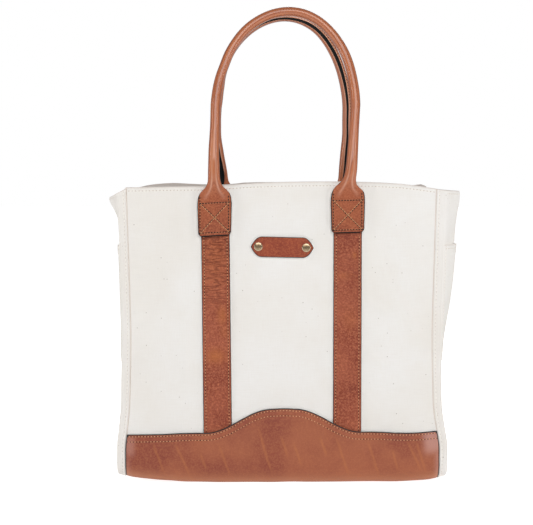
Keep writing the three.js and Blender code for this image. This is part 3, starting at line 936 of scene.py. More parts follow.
pocket_columns = spaced(-POCKET["reach"], POCKET["reach"], PANEL_STEP / SIDE_HALF)
pocket_rows = joined((POCKET["foot"], POCKET["fine_from"], PANEL_STEP),
                     (POCKET["fine_from"], POCKET["mouth"], 1))
for mouth in ("left", "right"):
    skin = gusset_skin(mouth)
    turned = mouth == "left"
    pocket = wall(f"{mouth}_pocket", pocket_columns, pocket_rows, skin, pocket_inside, pocket_outside,
                  POCKET_BULGE, turned=turned, marks={"seam": mouth_shade})
    finish_cloth(pocket, f"pocket_{mouth}")
    side_line = POCKET["reach"] - POCKET_ROW_IN
    foot_line = POCKET["foot"] + POCKET_FOOT_ROW
    climb = np.linspace(foot_line, POCKET["mouth"] - 2, POCKET_ROW_POINTS)
    level = np.linspace(-side_line, side_line, 100)
    rows = [seam_row(skin, pocket_outside, way * side_line, climb) for way in (-1, 1)]
    rows.append(seam_row(skin, pocket_outside, level, POCKET["mouth"] - HEM_ROW_DOWN))
    rows.append(seam_row(skin, pocket_outside, level, foot_line))
    stitches = sewn(f"{mouth}_pocket_stitches", rows, HEM_SEWING, turned=turned)
    finish_thread(stitches, cloth_thread)


# The leather base: one piece of smooth pull-up hide that runs from the back, under the floor, to the front.
# Its upper edges rise in one wave, its cut edges are painted dark, and two rows of thread hold it to the
# canvas.
STRAP = {"x": 83.3, "width": 35.3, "foot": 50, "top": 362, "thick": 2}
STRAP_RAMP = {"beside": 0.4, "out": 14, "foot": 20, "top": 40}
WAVE = {"rise": 28.9, "middle": 1.4, "foot": 97, "shoulder": 17.5, "crown": 1.2}
WAVE_SIDE = table(
    "x height",
    (-198, 59.4),
    (-150, 60.9),
    (-120, 62.3),
    (-96, 62.6),
    (100, 63.4),
    (125, 62.9),
    (145, 61.6),
    (165, 61.2),
    (198, 62.8),
)
BASE_ROWS = (2.5, 9.0)
BASE_SEWING = {"pitch": 4.05, "thread": 1.0, "cover": 0.52, "hole": 1.45, "slot": 1.4}
BASE_ROW_POINTS = 420
BASE_ROW_END = 1.5
BASE_DRAW = {"sink": 0.25, "wide": 0.8}
BASE_SWELL = {"deep": 0.22, "length": 48, "seed": 17, "fades": (9, 25)}
BASE_END = BODY["half"][0] - 1.5 * SEAM_GAP
FOOT_GLOW = {"share": 1.1, "girth": 1.35, "wide": 0.3}
FAR_BELOW = 60.0
STREAKS = table(
    "x0 z0 x1 z1",
    (-166, 54, -148, 6),
    (-138, 56, -115, 2),
    (-105, 40, -96, 14),
    (-82, 52, -64, 3),
    (-32, 76, -11, 3),
    (-2, 60, 8, 28),
    (14, 54, 25, 18),
    (47, 60, 58, 30),
    (66, 64, 88, 0),
    (107, 58, 125, 2),
    (140, 44, 148, 12),
    (158, 56, 180, 8),
    (169, 56, 186, 5),
)
BASE_SHEEN = table(
    "x z wide high share",
    (191, 50, 12, 15, 0.52),
    (196, 26, 3.5, 22, 0.24),
    (-194, 45, 7, 13, 0.26),
    (-196, 22, 3.5, 16, 0.12),
)


def wave_height(x):
    away = np.abs(x - WAVE["middle"])
    crown = WAVE["crown"] * ridge(away, 0, WAVE["shoulder"])
    rise = WAVE["rise"] * (1 - smoothstep(away, WAVE["shoulder"], WAVE["foot"]))
    return along(WAVE_SIDE, "height", x) + rise + crown


def wave_slope(x):
    return wave_height(x + 0.5) - wave_height(x - 0.5)


def seen_across(column, girth):
    """Place across a face as one who looks at it sees it; the back has negative girths and is mirrored."""
    return np.where(girth < 0, -column, column)


def base_skin(column, girth):
    """Girth runs over the flat floor from 0 to 1, round the bottom edge to 2 and up the face to 3."""
    way = np.where(girth < 0, 1, -1)
    travel = np.abs(girth)
    low = floor_under(column)
    z = low + EDGE_RADIUS
    z = z + (wave_height(seen_across(column, girth)) - z) * np.maximum(travel - 2, 0)
    drawn_in = (BODY["half"][0] - body("half", z)) * smoothstep(np.abs(column), FLAT_REACH, BODY["half"][0])
    x = column - np.sign(column) * drawn_in
    depth = skin_depth(x, z)
    turn = np.clip(travel - 1, 0, 1) * math.pi / 2
    y = np.where(travel <= 1, travel * (depth - EDGE_RADIUS), depth - EDGE_RADIUS * (1 - np.sin(turn)))
    rounded = low + EDGE_RADIUS * (1 - np.cos(turn))
    return np.stack([x, way * y, np.where(travel < 2, rounded, z)], axis=-1)


def below_wave(column, girth):
    """Distance down the face from the wave's edge, square to it."""
    x = seen_across(column, girth)
    rise = wave_height(x) - floor_under(column) - EDGE_RADIUS
    share = 3 - np.abs(girth)
    return np.where(share < 1, share * rise / np.sqrt(1 + wave_slope(x) ** 2), FAR_BELOW)


def base_edge(column, girth):
    return np.minimum(below_wave(column, girth), BASE_END - np.abs(column))


def base_inside(column, girth):
    """The base stands off the skin where it passes over the feet of the straps."""
    z = base_skin(column, girth)[..., 2]
    aside = np.abs(np.abs(column) - STRAP["x"]) - STRAP["width"] / 2
    across = 1 - smoothstep(aside, STRAP_RAMP["beside"], STRAP_RAMP["out"])
    return GAP + (STRAP["thick"] + GAP) * across * smoothstep(z, STRAP_RAMP["foot"], STRAP_RAMP["top"])


def base_glow(column, girth):
    """The hide is paler where it turns under at the foot, on both faces."""
    return FOOT_GLOW["share"] * ridge(np.abs(girth), FOOT_GLOW["girth"], FOOT_GLOW["wide"])


def base_sheen(column, girth):
    """Shine painted on the ends of both faces, where they turn to the side light."""
    x = seen_across(column, girth)
    z = base_skin(column, girth)[..., 2]
    shine = 0.0
    for spot_x, spot_z, wide, high, share in zip(*BASE_SHEEN.values()):
        shine = np.maximum(shine, share * np.exp(-((x - spot_x) / wide) ** 4 - ((z - spot_z) / high) ** 4))
    return shine


def base_outside(column, girth):
    down = below_wave(column, girth)
    drawn_in = sum(BASE_DRAW["sink"] * ridge(down, row, BASE_DRAW["wide"]) for row in BASE_ROWS)
    waves = ripples(column, 40 * girth, BASE_SWELL["length"], BASE_SWELL["seed"])
    swell = BASE_SWELL["deep"] * waves * smoothstep(down, *BASE_SWELL["fades"])
    return base_inside(column, girth) + BASE_THICK - drawn_in + swell


def tanned_hide():
    """What all the leather shares. Cloud and Mottle vary its tone, Grain is the relief of its pebbles."""
    outputs = ["Cloud", "Mottle", "Grain"]
    tree, given, put_out = new_group("tanned_hide", {"Place": "Vector", "Grain Scale": "Float"}, outputs)
    place = given.outputs["Place"]
    cloud = remap(tree, cloudy(tree, place, 15.0, 4.0), 0.35, 0.65)
    stir = add(tree, "TexNoise", {"Vector": place, "Scale": 500.0, "Detail": 1.0}).outputs["Color"]
    stir = add(tree, "VectorMath", {0: stir, "Scale": 0.0009}, operation="SCALE").outputs[0]
    stirred = add(tree, "VectorMath", {0: place, 1: stir}, operation="ADD").outputs[0]
    pebble = {"Vector": stirred, "Scale": given.outputs["Grain Scale"]}
    cell = add(tree, "SeparateColor", {0: add(tree, "TexVoronoi", pebble).outputs["Color"]}).outputs[0]
    patchy = remap(tree, cloudy(tree, place, 450.0, 4.0, 0.6), 0.3, 0.7)
    mottle = add(tree, "Mix", {0: 0.4, 2: patchy, 3: cell}).outputs[0]
    edges = add(tree, "TexVoronoi", pebble, feature="DISTANCE_TO_EDGE").outputs["Distance"]
    pores = cloudy(tree, place, 1900.0, 2.0)
    grain = maths(tree, "ADD", remap(tree, edges, 0.0, 0.2), maths(tree, "MULTIPLY", pores, 0.5))
    for socket, value in zip(outputs, (cloud, mottle, grain)):
        tree.links.new(value, put_out.inputs[socket])
    return tree


def pull_streak():
    """A pale line where the oiled hide was drawn tight, between two places on the face."""
    inputs = {"Place": "Vector", "From": "Vector", "To": "Vector"}
    tree, given, put_out = new_group("pull_streak", inputs, ["Mask"])

    def vector(operation, a, b):
        made = add(tree, "VectorMath", {0: a, 1: b}, operation=operation)
        return made.outputs["Value" if operation in ("DOT_PRODUCT", "DISTANCE") else "Vector"]

    flat = vector("MULTIPLY", given.outputs["Place"], (1, 0, 1))
    run = vector("SUBTRACT", given.outputs["To"], given.outputs["From"])
    gone = vector("DOT_PRODUCT", vector("SUBTRACT", flat, given.outputs["From"]), run)
    share = maths(tree, "DIVIDE", gone, vector("DOT_PRODUCT", run, run))
    held = maths(tree, "MINIMUM", maths(tree, "MAXIMUM", share, 0.0), 1.0)
    step = add(tree, "VectorMath", {0: run, "Scale": held}, operation="SCALE")
    nearest = vector("ADD", given.outputs["From"], step.outputs["Vector"])
    line = remap(tree, vector("DISTANCE", flat, nearest), 0.0002, 0.0026, 1.0, 0.0)
    fade = remap(tree, maths(tree, "ABSOLUTE", maths(tree, "SUBTRACT", share, 0.5)), 0.2, 0.5, 1.0, 0.0)
    tree.links.new(maths(tree, "MULTIPLY", line, fade), put_out.inputs["Mask"])
    return tree


hide_group = tanned_hide()
streak_group = pull_streak()
EDGE_PAINT = srgb(38, 40, 40)
STREAK_TONE = srgb(190, 116, 68)
SHEEN_TONE = srgb(206, 162, 152)
CREASE_SHADE = srgb(104, 42, 27)
GROOVE_SHADE = srgb(90, 44, 32)


def on_face(x, z):
    """A place on the front or back, in the shared frame's metres."""
    return ((x + SEAM_MIDDLE) * MM, 0, (z + FOOT_HEIGHT) * MM)


def leather(name, tones, grain, paint, groove_mark=None, grooves=(), streaks=None, crinkled=False):
    """Oiled hide: four tones, a grain, painted edges, rows where thread presses in, and pale streaks. Along
    the rows and in the creases of crinkled hide, darker lines are painted shade. The grain is its scale,
    depth and mottling. The paint is how far it comes onto the face."""
    material, tree, shader = new_material(name, 0.45, 0.3)
    place = add(tree, "TexCoord").outputs["Object"]
    scale, depth, mottling = grain
    hide = add(tree, "Group", {"Place": place, "Grain Scale": scale}, node_tree=hide_group)
    dark, middle, light, rubbed = tones
    tone = blended(tree, hide.outputs["Cloud"], dark, middle)
    tone = blended(tree, remap(tree, hide.outputs["Mottle"], 0.2, 1.0, 0.0, mottling), tone, light)
    tone = blended(tree, remap(tree, hide.outputs["Grain"], 0.0, 0.75, 0.4, 0.0), tone, dark)
    tone = blended(tree, maths(tree, "MULTIPLY", mark(tree, "glow"), 0.8), tone, rubbed)
    relief = hide.outputs["Grain"]
    if streaks is not None:
        wander = add(tree, "TexNoise", {"Vector": place, "Scale": 60.0, "Detail": 2.0}).outputs["Color"]
        shift = add(tree, "VectorMath", {0: wander, 1: (0.5, 0.5, 0.5)}, operation="SUBTRACT").outputs[0]
        shift = add(tree, "VectorMath", {0: shift, "Scale": 0.0025}, operation="SCALE").outputs[0]
        wavy = add(tree, "VectorMath", {0: place, 1: shift}, operation="ADD").outputs[0]
        pulled = 0.0
        for x0, z0, x1, z1 in zip(*streaks.values()):
            ends = {"Place": wavy, "From": on_face(x0, z0), "To": on_face(x1, z1)}
            streak = add(tree, "Group", ends, node_tree=streak_group)
            pulled = maths(tree, "MAXIMUM", streak.outputs["Mask"], pulled)
        tone = blended(tree, maths(tree, "MULTIPLY", pulled, 0.32), tone, STREAK_TONE)
        tone = blended(tree, mark(tree, "sheen"), tone, SHEEN_TONE)
    if crinkled:
        # Painted shade: dark lines in the creases. Their relief is a bump.
        creases = cloudy(tree, scaled(tree, place, (45, 45, 230)), 1.0, 2.0, 0.5)
        off_line = maths(tree, "ABSOLUTE", maths(tree, "SUBTRACT", creases, 0.5))
        lines = remap(tree, off_line, 0.0, 0.06, 1.0, 0.0)
        crinkle = maths(tree, "MULTIPLY", lines, mark(tree, "crinkle"))
        tone = blended(tree, maths(tree, "MULTIPLY", crinkle, 0.5), tone, CREASE_SHADE)
        relief = maths(tree, "SUBTRACT", relief, maths(tree, "MULTIPLY", crinkle, 2.0))
    # Painted shade: the hide darkens along each row where the thread presses in.
    for row in grooves:
        aside = maths(tree, "ABSOLUTE", maths(tree, "SUBTRACT", mark(tree, groove_mark), row))
        pressed = remap(tree, aside, 0.3, 1.0, 0.2, 0.0)
        tone = blended(tree, pressed, tone, GROOVE_SHADE)
    painted = remap(tree, mark(tree, "edge"), paint, paint + 0.35, 1.0, 0.0)
    tone = blended(tree, painted, tone, EDGE_PAINT)
    tree.links.new(tone, shader.inputs["Base Color"])
    gloss = remap(tree, hide.outputs["Mottle"], 0.0, 1.0, 0.4, 0.52)
    tree.links.new(gloss, shader.inputs["Roughness"])
    bump = add(tree, "Bump", {"Strength": depth, "Distance": 0.0003, "Height": relief})
    tree.links.new(bump.outputs[0], shader.inputs["Normal"])
    return material


def finish_piece(piece, node, material):
    piece.data.materials.append(material)
    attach(piece, "root")
    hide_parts(node)


BASE_TONES = (srgb(134, 65, 50), srgb(162, 92, 64), srgb(180, 110, 74), srgb(186, 120, 84))
base_leather = leather("base_leather", BASE_TONES, (900.0, 0.25, 0.5), 0.7, "below", BASE_ROWS, STREAKS)
leather_thread = spun_thread("leather_thread", srgb(228, 172, 128), srgb(150, 92, 62), srgb(34, 18, 16))
base_columns = both_ways(spaced(0, BASE_END, PANEL_STEP))
base_girths = both_ways(joined((0, 1, 0.25), (1, 2, 0.125), (2, 2.6, 0.05), (2.6, 3, 0.02)))
base = wall("base", base_columns, base_girths, base_skin, base_inside, base_outside, PANEL_BULGE,
            marks={"edge": base_edge, "below": below_wave, "glow": base_glow, "sheen": base_sheen})
finish_piece(base, "leather_base", base_leather)

base_line = np.linspace(-BASE_END + BASE_ROW_END, BASE_END - BASE_ROW_END, BASE_ROW_POINTS)
rows = []
for way in (-1, 1):
    for down in BASE_ROWS:
        rise = wave_height(way * base_line) - floor_under(base_line) - EDGE_RADIUS
        girth = way * (3 - down * np.sqrt(1 + wave_slope(way * base_line) ** 2) / rise)
        rows.append(seam_row(base_skin, base_outside, base_line, girth))
base_stitches = sewn("base_stitches", rows, BASE_SEWING)
finish_thread(base_stitches, leather_thread)


# The straps: two bands of pebbled leather on each face, from under the base's edge to under the handle's
# tabs, sewn along both painted edges. The top of the front left one is crinkled from handling.
STRAP_STEP = 1.5
STRAP_BULGE = 0.4
STRAP_ROW_IN = 3.0
STRAP_ROW_OVER_BASE = 2
STRAP_ROW_TOP = 313
STRAP_ROW_POINTS = 180
STRAP_SEWING = {"pitch": 4.0, "thread": 0.85, "cover": 0.5, "hole": 1.3, "slot": 1.5}
STRAP_DRAW = {"sink": 0.2, "wide": 0.8}
STRAP_LEAN = {"front_left": 2.7, "front_right": -1.2, "back_left": -0.8, "back_right": 0.8}
LEAN_OVER = {"middle": 200, "run": 250}
STRAP_CRINKLE = {"front_left": 1.0, "front_right": 0.3, "back_left": 0.3, "back_right": 0.3}
CRINKLED = {"heights": (205, 250), "all_over": 0.25, "length": 60, "seed": 21}
CRINKLE_RELIEF = {"deep": 0.2, "length": 6, "seed": 23}
STRAP_GLOWS = table(
    "x z wide high share",
    (-76, 212, 6, 11, 0.7),
    (-85, 160, 12, 9, 0.8),
    (-74, 190, 5, 6, 0.35),
    (92, 288, 2.5, 4, 0.8),
    (80, 262, 10, 5, 0.3),
    (86, 205, 9, 14, 0.25),
    (-85, 285, 18, 40, 0.34),
)


def strap_skin(lean):
    """The panel's skin under a strap, whose foot lies further along by its lean than its top does."""
    def skin(x, z):
        across = x + lean * (LEAN_OVER["middle"] - z) / LEAN_OVER["run"]
        return np.stack([across, -skin_depth(across, z), z + 0 * across], axis=-1)
    return skin


def strap_inside(x, z):
    return flush(x, z) + GAP


def strap_shape(centre, crinkle_share):
    """A strap's marks, and the distance of its outer face from the skin."""
    def edge(x, z):
        return STRAP["width"] / 2 - np.abs(x - centre)

    def crinkle(x, z):
        waves = 1 + ripples(x, z, CRINKLED["length"], CRINKLED["seed"])
        return crinkle_share * smoothstep(z, *CRINKLED["heights"]) + CRINKLED["all_over"] * waves / 2

    def glow(x, z):
        spots = zip(*STRAP_GLOWS.values())
        return sum(share * ridge(x, x0, wide) * ridge(z, z0, high) for x0, z0, wide, high, share in spots)

    def outside(x, z):
        waves = ripples(0.3 * x, z, CRINKLE_RELIEF["length"], CRINKLE_RELIEF["seed"])
        drawn_in = STRAP_DRAW["sink"] * ridge(edge(x, z), STRAP_ROW_IN, STRAP_DRAW["wide"])
        return GAP + STRAP["thick"] + CRINKLE_RELIEF["deep"] * crinkle(x, z) * waves - drawn_in

    return {"edge": edge, "crinkle": crinkle, "glow": glow}, outside


STRAP_TONES = (srgb(132, 58, 39), srgb(160, 83, 58), srgb(198, 116, 82), srgb(190, 110, 58))
strap_leather = leather("strap_leather", STRAP_TONES, (560.0, 0.9, 0.78), 0.2, "edge", (STRAP_ROW_IN,),
                        crinkled=True)
half_wide = STRAP["width"] / 2
strap_rows = spaced(STRAP["foot"], STRAP["top"], STRAP_STEP)
for face in ("front", "back"):
    turned = face == "back"
    for side, way in (("left", -1), ("right", 1)):
        centre = way * STRAP["x"] * (-1 if turned else 1)
        skin = strap_skin(STRAP_LEAN[f"{face}_{side}"])
        marks, outside = strap_shape(centre, STRAP_CRINKLE[f"{face}_{side}"])
        columns = centre + both_ways(spaced(0, half_wide, STRAP_STEP))
        strap = wall(f"{face}_{side}_strap", columns, strap_rows, skin, strap_inside, outside, STRAP_BULGE,
                     turned=turned, marks=marks)
        finish_piece(strap, f"strap_{face}_{side}", strap_leather)
        rows = []
        for edge_way in (-1, 1):
            x = centre + edge_way * (half_wide - STRAP_ROW_IN)
            foot = float(wave_height(x)) + STRAP_ROW_OVER_BASE
            climb = np.linspace(foot, STRAP_ROW_TOP, STRAP_ROW_POINTS)
            rows.append(seam_row(skin, outside, x, climb))
        stitches = sewn(f"{face}_{side}_strap_stitches", rows, STRAP_SEWING, turned=turned)
        finish_thread(stitches, leather_thread)


# The handles: one on each face, a strip of leather rolled round a cord, with its painted edges drawn
# together and sewn along the inner side. At both ends the roll opens into a flat tab, box stitched through
# strap and canvas.
TAB = {"foot": 314, "corner": 5}
TAB_BOX = {"half": 18.2, "low": 318, "high": 355.5, "top": 363}
TAB_SEWING = {
    "box": {"pitch": 3.6, "thread": 0.75, "cover": 0.46, "hole": 1.35, "slot": 2.6, "beside": 0.45},
    "cross": {"pitch": 3.6, "thread": 0.7, "cover": 0.95, "hole": 1.15, "slot": 3.0, "beside": 0.65},
}
# The rows run so that each dark groove cap lies on the side of its stitch that the light leaves in shade:
# painted shade.
TAB_LINES = {
    "box": [(-1, "low", 1, "low"), (1, "low", 1, "top"), (-1, "high", 1, "high"), (-1, "low", -1, "top")],
    "cross": [(-1, "low", 1, "high"), (-1, "high", 1, "low")],
}
ROLL_SEWING = {"pitch": 4.05, "thread": 0.65, "cover": 0.55, "hole": 1.1, "slot": 1}
ARCH = {"spring": 480, "inset": 30}
ARCH_SPAN = {
    "front": {"middle": 4.6, "reach": 89, "lean": 5.5, "rise": 120,
              "tab_lift": (-1.3, 2.7), "tab_slant": (0.05, 0.034)},
    "back": {"middle": 3.8, "reach": 86.2, "lean": 3.1, "rise": 119,
             "tab_lift": (7, 0), "tab_slant": (0, 0)},
}
ARCH_BEND = {
    "front": table(
        "height left right",
        (480, 0, 0.9),
        (492, 0.8, 0.8),
        (515, 1.7, 0.6),
        (530, 2.5, 0.8),
        (545, 1.7, 0.9),
        (560, 1.2, 0.5),
        (583, 0, 0),
        (600, 0, 0),
    ),
    "back": table(
        "height left right",
        (480, 0, 0.9),
        (492, 1.2, 0.4),
        (505, 1.2, -0.2),
        (522, -0.2, -0.8),
        (555, -1.9, -1.2),
        (570, -1.7, -0.8),
        (585, -1.1, 0),
        (600, 0, 0),
    ),
}
LEGS = {
    "front": table(
        "height left right",
        (314, -85.5, 83.7),
        (366, -85.6, 83.9),
        (397, -86.4, 88.2),
        (420, -86.4, 90),
        (437, -85.7, 91.3),
        (460, -84.8, 93),
        (480, -84.4, 94.5),
    ),
    "back": table(
        "height left right",
        (314, -82.5, 85.5),
        (366, -78.6, 86),
        (385, -76.2, 88.2),
        (400, -77.6, 88.7),
        (420, -80.3, 89.7),
        (445, -83.2, 91.2),
        (465, -83.2, 90.9),
        (480, -82.4, 90.9),
    ),
}
HANDLE_SECTION = table(
    "height wide thick square",
    (314, 20.8, 1.6, 8),
    (341, 21.5, 1.6, 8),
    (353, 21.8, 1.6, 8),
    (360, 21.4, 1.6, 8),
    (364, 20.7, 1.8, 7.5),
    (367.5, 19.2, 2.1, 7),
    (371, 16.4, 2.7, 6),
    (375, 12.2, 3.5, 4.5),
    (379, 9.4, 4.3, 3.5),
    (386, 7.8, 5.1, 2.8),
    (397, 7.4, 5.8, 2.3),
    (420, 6.8, 6.1, 2),
    (450, 6.1, 6.1, 2),
)
ROLL_SEAM = table(
    "height half deep",
    (366, 5.0, 0.4),
    (374, 5.0, 1.6),
    (381, 4.3, 2.8),
    (400, 2.2, 2.4),
    (430, 1.2, 1.5),
    (455, 0.8, 1.2),
)
ROLL_TWIST = {
    "front": table(
        "gone turn gape",
        (0, 0, 1),
        (0.5, 0, 1),
        (1, 0, 1),
    ),
    "back": table(
        "gone turn gape",
        (0, 6, 0.5),
        (0.1, 6, 0.35),
        (0.2, 6, 0.35),
        (0.28, 5, 0.8),
        (0.36, 2, 1.65),
        (0.44, -10, 1.35),
        (0.5, -26, 0.6),
        (0.52, -26, 0.42),
        (0.54, -25, 0.1),
        (0.62, -18, 0.1),
        (0.7, -9, 0.1),
        (0.845, -7, 0.1),
        (0.87, -7, 0.5),
        (0.885, -5, 0.67),
        (1, 0, 0.6),
    ),
}
NECK_SHEEN = table(
    "height aside spread share",
    (358, 13, 2.6, 0),
    (365, 10.5, 2.2, 0.4),
    (371, 6.6, 1.6, 0.7),
    (378, 4.1, 1.1, 0.9),
    (386, 2.9, 0.8, 0.9),
    (400, 2.5, 0.7, 0.7),
    (430, 2.5, 0.7, 0.3),
    (450, 2.5, 0.7, 0),
)
ROLL_POINTS = 72
ROLL_FINE = 480
ROLL_CROWD = 1.25
ROLL_ROW = 3.9
ROLL_SEWN_FROM = 392
ROLL_LIP = {"off": 1.7, "wide": 0.6}
NECK = {"lift": (366, 420), "slant": (360, 378), "twist": (384, 410), "edge": (366, 386), "lip": (384, 400),
        "rolled": (356, 400)}
NECK_CLEAR = 20
NECK_HOLLOW = {"deep": 0.7, "height": 375, "high": 13, "wide": 0.5}
TAB_END = {"in": 0.7, "out": 0.5, "thin": 0.6}
TAB_ROW_POINTS = 60
ARCH_POINTS = 64


def handle_stations(face):
    """Middle points, frames and section sizes along a handle. The back's is laid out turned half round."""
    legs, span = LEGS[face], ARCH_SPAN[face]
    heights = joined((TAB["foot"], 320, 0.6), (320, 404, 2), (404, ARCH["spring"], 4))
    turns = np.linspace(math.pi, 0, ARCH_POINTS + 2)[1:-1]
    arch_x = span["middle"] + span["lean"] * np.sin(turns) ** 2 + span["reach"] * np.cos(turns)
    arch_z = ARCH["spring"] + span["rise"] * np.sin(turns)
    bends = [along(ARCH_BEND[face], side, arch_z) for side in ("left", "right")]
    arch_x += np.where(turns > math.pi / 2, *bends)
    x = np.concatenate([along(legs, "left", heights), arch_x, along(legs, "right", heights)[::-1]])
    z = np.concatenate([heights, arch_z, heights[::-1]])

    def on_tabs(values, fade):
        return np.concatenate([values[0] * fade, 0 * arch_z, values[1] * fade[::-1]])

    lift = on_tabs(span["tab_lift"], 1 - smoothstep(heights, *NECK["lift"]))
    slant = on_tabs(span["tab_slant"], 1 - smoothstep(heights, *NECK["slant"]))
    if face == "back":
        x, z, lift, slant = -x[::-1], z[::-1], lift[::-1], slant[::-1]
    wide, thick, square = (along(HANDLE_SECTION, column, z) for column in ("wide", "thick", "square"))
    round_off = np.maximum(TAB["corner"] - (z - TAB["foot"]), 0)
    wide = wide - TAB["corner"] + np.sqrt(TAB["corner"] ** 2 - round_off ** 2)
    seat = -skin_depth(x, np.minimum(z, RIM_HEIGHT)) - (2 * GAP + STRAP["thick"] + thick)
    inward = np.maximum(z - RIM_HEIGHT, 0) / (ARCH["spring"] + span["rise"] - RIM_HEIGHT)
    y = seat + (-ARCH["inset"] - seat) * (smoothstep(inward, 0, 1) + inward) / 2
    middle = np.stack([x, y, z + lift], axis=1)
    run = np.concatenate([middle[1:2] - middle[:1], middle[2:] - middle[:-2], middle[-1:] - middle[-2:-1]])
    run = unit(run)
    across = np.cross(run, [0, -1, 0])
    across[:, 2] += slant * across[:, 0]
    across = unit(across)
    gone = lengths_along(middle)
    twist = np.radians(along(ROLL_TWIST[face], "turn", gone / gone[-1])) * smoothstep(z, *NECK["twist"])
    return {"middle": middle, "run": run, "across": across, "through": np.cross(run, across), "gone": gone,
            "wide": wide, "thick": thick, "square": square, "leg": len(heights), "height": z, "twist": twist,
            "gape": along(ROLL_TWIST[face], "gape", gone / gone[-1])}


def handle_outlines(line):
    """Each station's outline: places across and through it, and the way round from the seam."""
    z = line["height"]
    turn = np.linspace(0, 2 * math.pi, ROLL_FINE + 1) + math.pi / 2 + line["twist"][:, None]
    power = 2 / line["square"][:, None]
    a = np.sign(np.cos(turn)) * np.abs(np.cos(turn)) ** power * line["wide"][:, None]
    b = np.sign(np.sin(turn)) * np.abs(np.sin(turn)) ** power * line["thick"][:, None]
    gone_round = np.cumsum(np.hypot(np.diff(a), np.diff(b)), axis=1)
    lengths = np.concatenate([np.zeros((len(z), 1)), gone_round], axis=1)
    even = np.linspace(-1, 1, ROLL_POINTS + 1)[:-1]
    shares = np.sign(even) * np.abs(even) ** ROLL_CROWD / 2
    girth = lengths[:, -1:]
    around = shares * girth
    place_a = np.stack([np.interp(row % whole, length, values)
                        for row, whole, length, values in zip(around, girth, lengths, a)])
    place_b = np.stack([np.interp(row % whole, length, values)
                        for row, whole, length, values in zip(around, girth, lengths, b)])
    half = (along(ROLL_SEAM, "half", z) * line["gape"])[:, None]
    deep = along(ROLL_SEAM, "deep", z)[:, None] * (1 - smoothstep(np.abs(around), 0.5 * half, half + 0.9))
    place_a += deep * np.sin(line["twist"][:, None])
    place_b -= deep * np.cos(line["twist"][:, None])
    hollow = NECK_HOLLOW["deep"] * ridge(z, NECK_HOLLOW["height"], NECK_HOLLOW["high"])[:, None]
    hollow = hollow * ridge(place_a, 0, NECK_HOLLOW["wide"] * line["wide"][:, None])
    place_b += np.where(place_b < 0, hollow, 0)
    return place_a, place_b, around, half


def handle_leather():
    """The handles' own hide: the straps' tone on the tabs, paler and drawn into lines along the roll. The
    roll is painted darker as shade where it turns away from the eye, and the shine on its lips and necks is
    painted."""
    material, tree, shader = new_material("handle_leather", 0.4, 0.5)
    shader.inputs["Coat Roughness"].default_value = 0.1
    shader.inputs["Coat IOR"].default_value = 1.6
    painted = remap(tree, mark(tree, "edge"), 0.85, 1.2, 1.0, 0.0)
    waxed = maths(tree, "MULTIPLY", mark(tree, "rolled"), maths(tree, "SUBTRACT", 1.0, painted))
    tree.links.new(maths(tree, "MULTIPLY", waxed, 0.8), shader.inputs["Coat Weight"])
    tree.links.new(remap(tree, waxed, 0.0, 1.0, 0.6, 0.4), shader.inputs["Roughness"])
    tree.links.new(remap(tree, painted, 0.0, 1.0, 0.3, 0.05), shader.inputs["Specular IOR Level"])
    place = add(tree, "TexCoord").outputs["Object"]
    roll = add(tree, "UVMap", uv_map="cloth").outputs[0]
    hide = add(tree, "Group", {"Place": place, "Grain Scale": 900.0}, node_tree=hide_group)
    cloud = blended(tree, hide.outputs["Cloud"], srgb(116, 51, 33), srgb(140, 70, 41))
    flat = blended(tree, hide.outputs["Mottle"], cloud, srgb(172, 96, 63))
    drawn = cloudy(tree, scaled(tree, roll, (520, 14, 1)), 1.0, 3.0, 0.6)
    rolled = blended(tree, remap(tree, drawn, 0.34, 0.66), srgb(153, 81, 48), srgb(186, 109, 65))
    tone = blended(tree, mark(tree, "rolled"), flat, rolled)
    tone = blended(tree, remap(tree, hide.outputs["Mottle"], 0.5, 1.0, 0.0, 0.25), tone, srgb(190, 116, 74))
    # Painted shade: the roll darkens towards its outline by the angle of view.
    rim = add(tree, "LayerWeight", {"Blend": 0.5}).outputs["Facing"]
    shaded = maths(tree, "MULTIPLY", remap(tree, rim, 0.3, 0.9, 0.0, 0.9), mark(tree, "rolled"))
    tone = blended(tree, shaded, tone, srgb(112, 50, 38))
    tone = blended(tree, maths(tree, "MULTIPLY", mark(tree, "lip"), 0.6), tone, srgb(214, 166, 142))
    tone = blended(tree, painted, tone, srgb(31, 33, 33))
    tree.links.new(tone, shader.inputs["Base Color"])
    relief = maths(tree, "ADD", maths(tree, "MULTIPLY", hide.outputs["Grain"], 0.5), drawn)
    bump = add(tree, "Bump", {"Strength": 0.16, "Distance": 0.0003, "Height": relief})
    tree.links.new(bump.outputs[0], shader.inputs["Normal"])
    return material


def with_ends(values):
    """A handle's rows, with the first and the last repeated for the rings that close it."""
    return np.concatenate([values[:1], values, values[-1:]])


def handle_rings(line, place_a, place_b):
    """Every ring of points along a handle, with a smaller ring that rounds off each end."""
    middle, across, through = line["middle"], line["across"], line["through"]
    rings = middle[:, None] + across[:, None] * place_a[..., None] + through[:, None] * place_b[..., None]
    closing = []
    for end, way in ((0, -1), (-1, 1)):
        narrow = (line["wide"][end] - TAB_END["in"]) / line["wide"][end]
        closing.append(middle[end] + way * TAB_END["out"] * line["run"][end]
                       + across[end] * place_a[end][:, None] * narrow
                       + through[end] * place_b[end][:, None] * TAB_END["thin"])
    return np.concatenate([closing[:1], rings, closing[1:]])


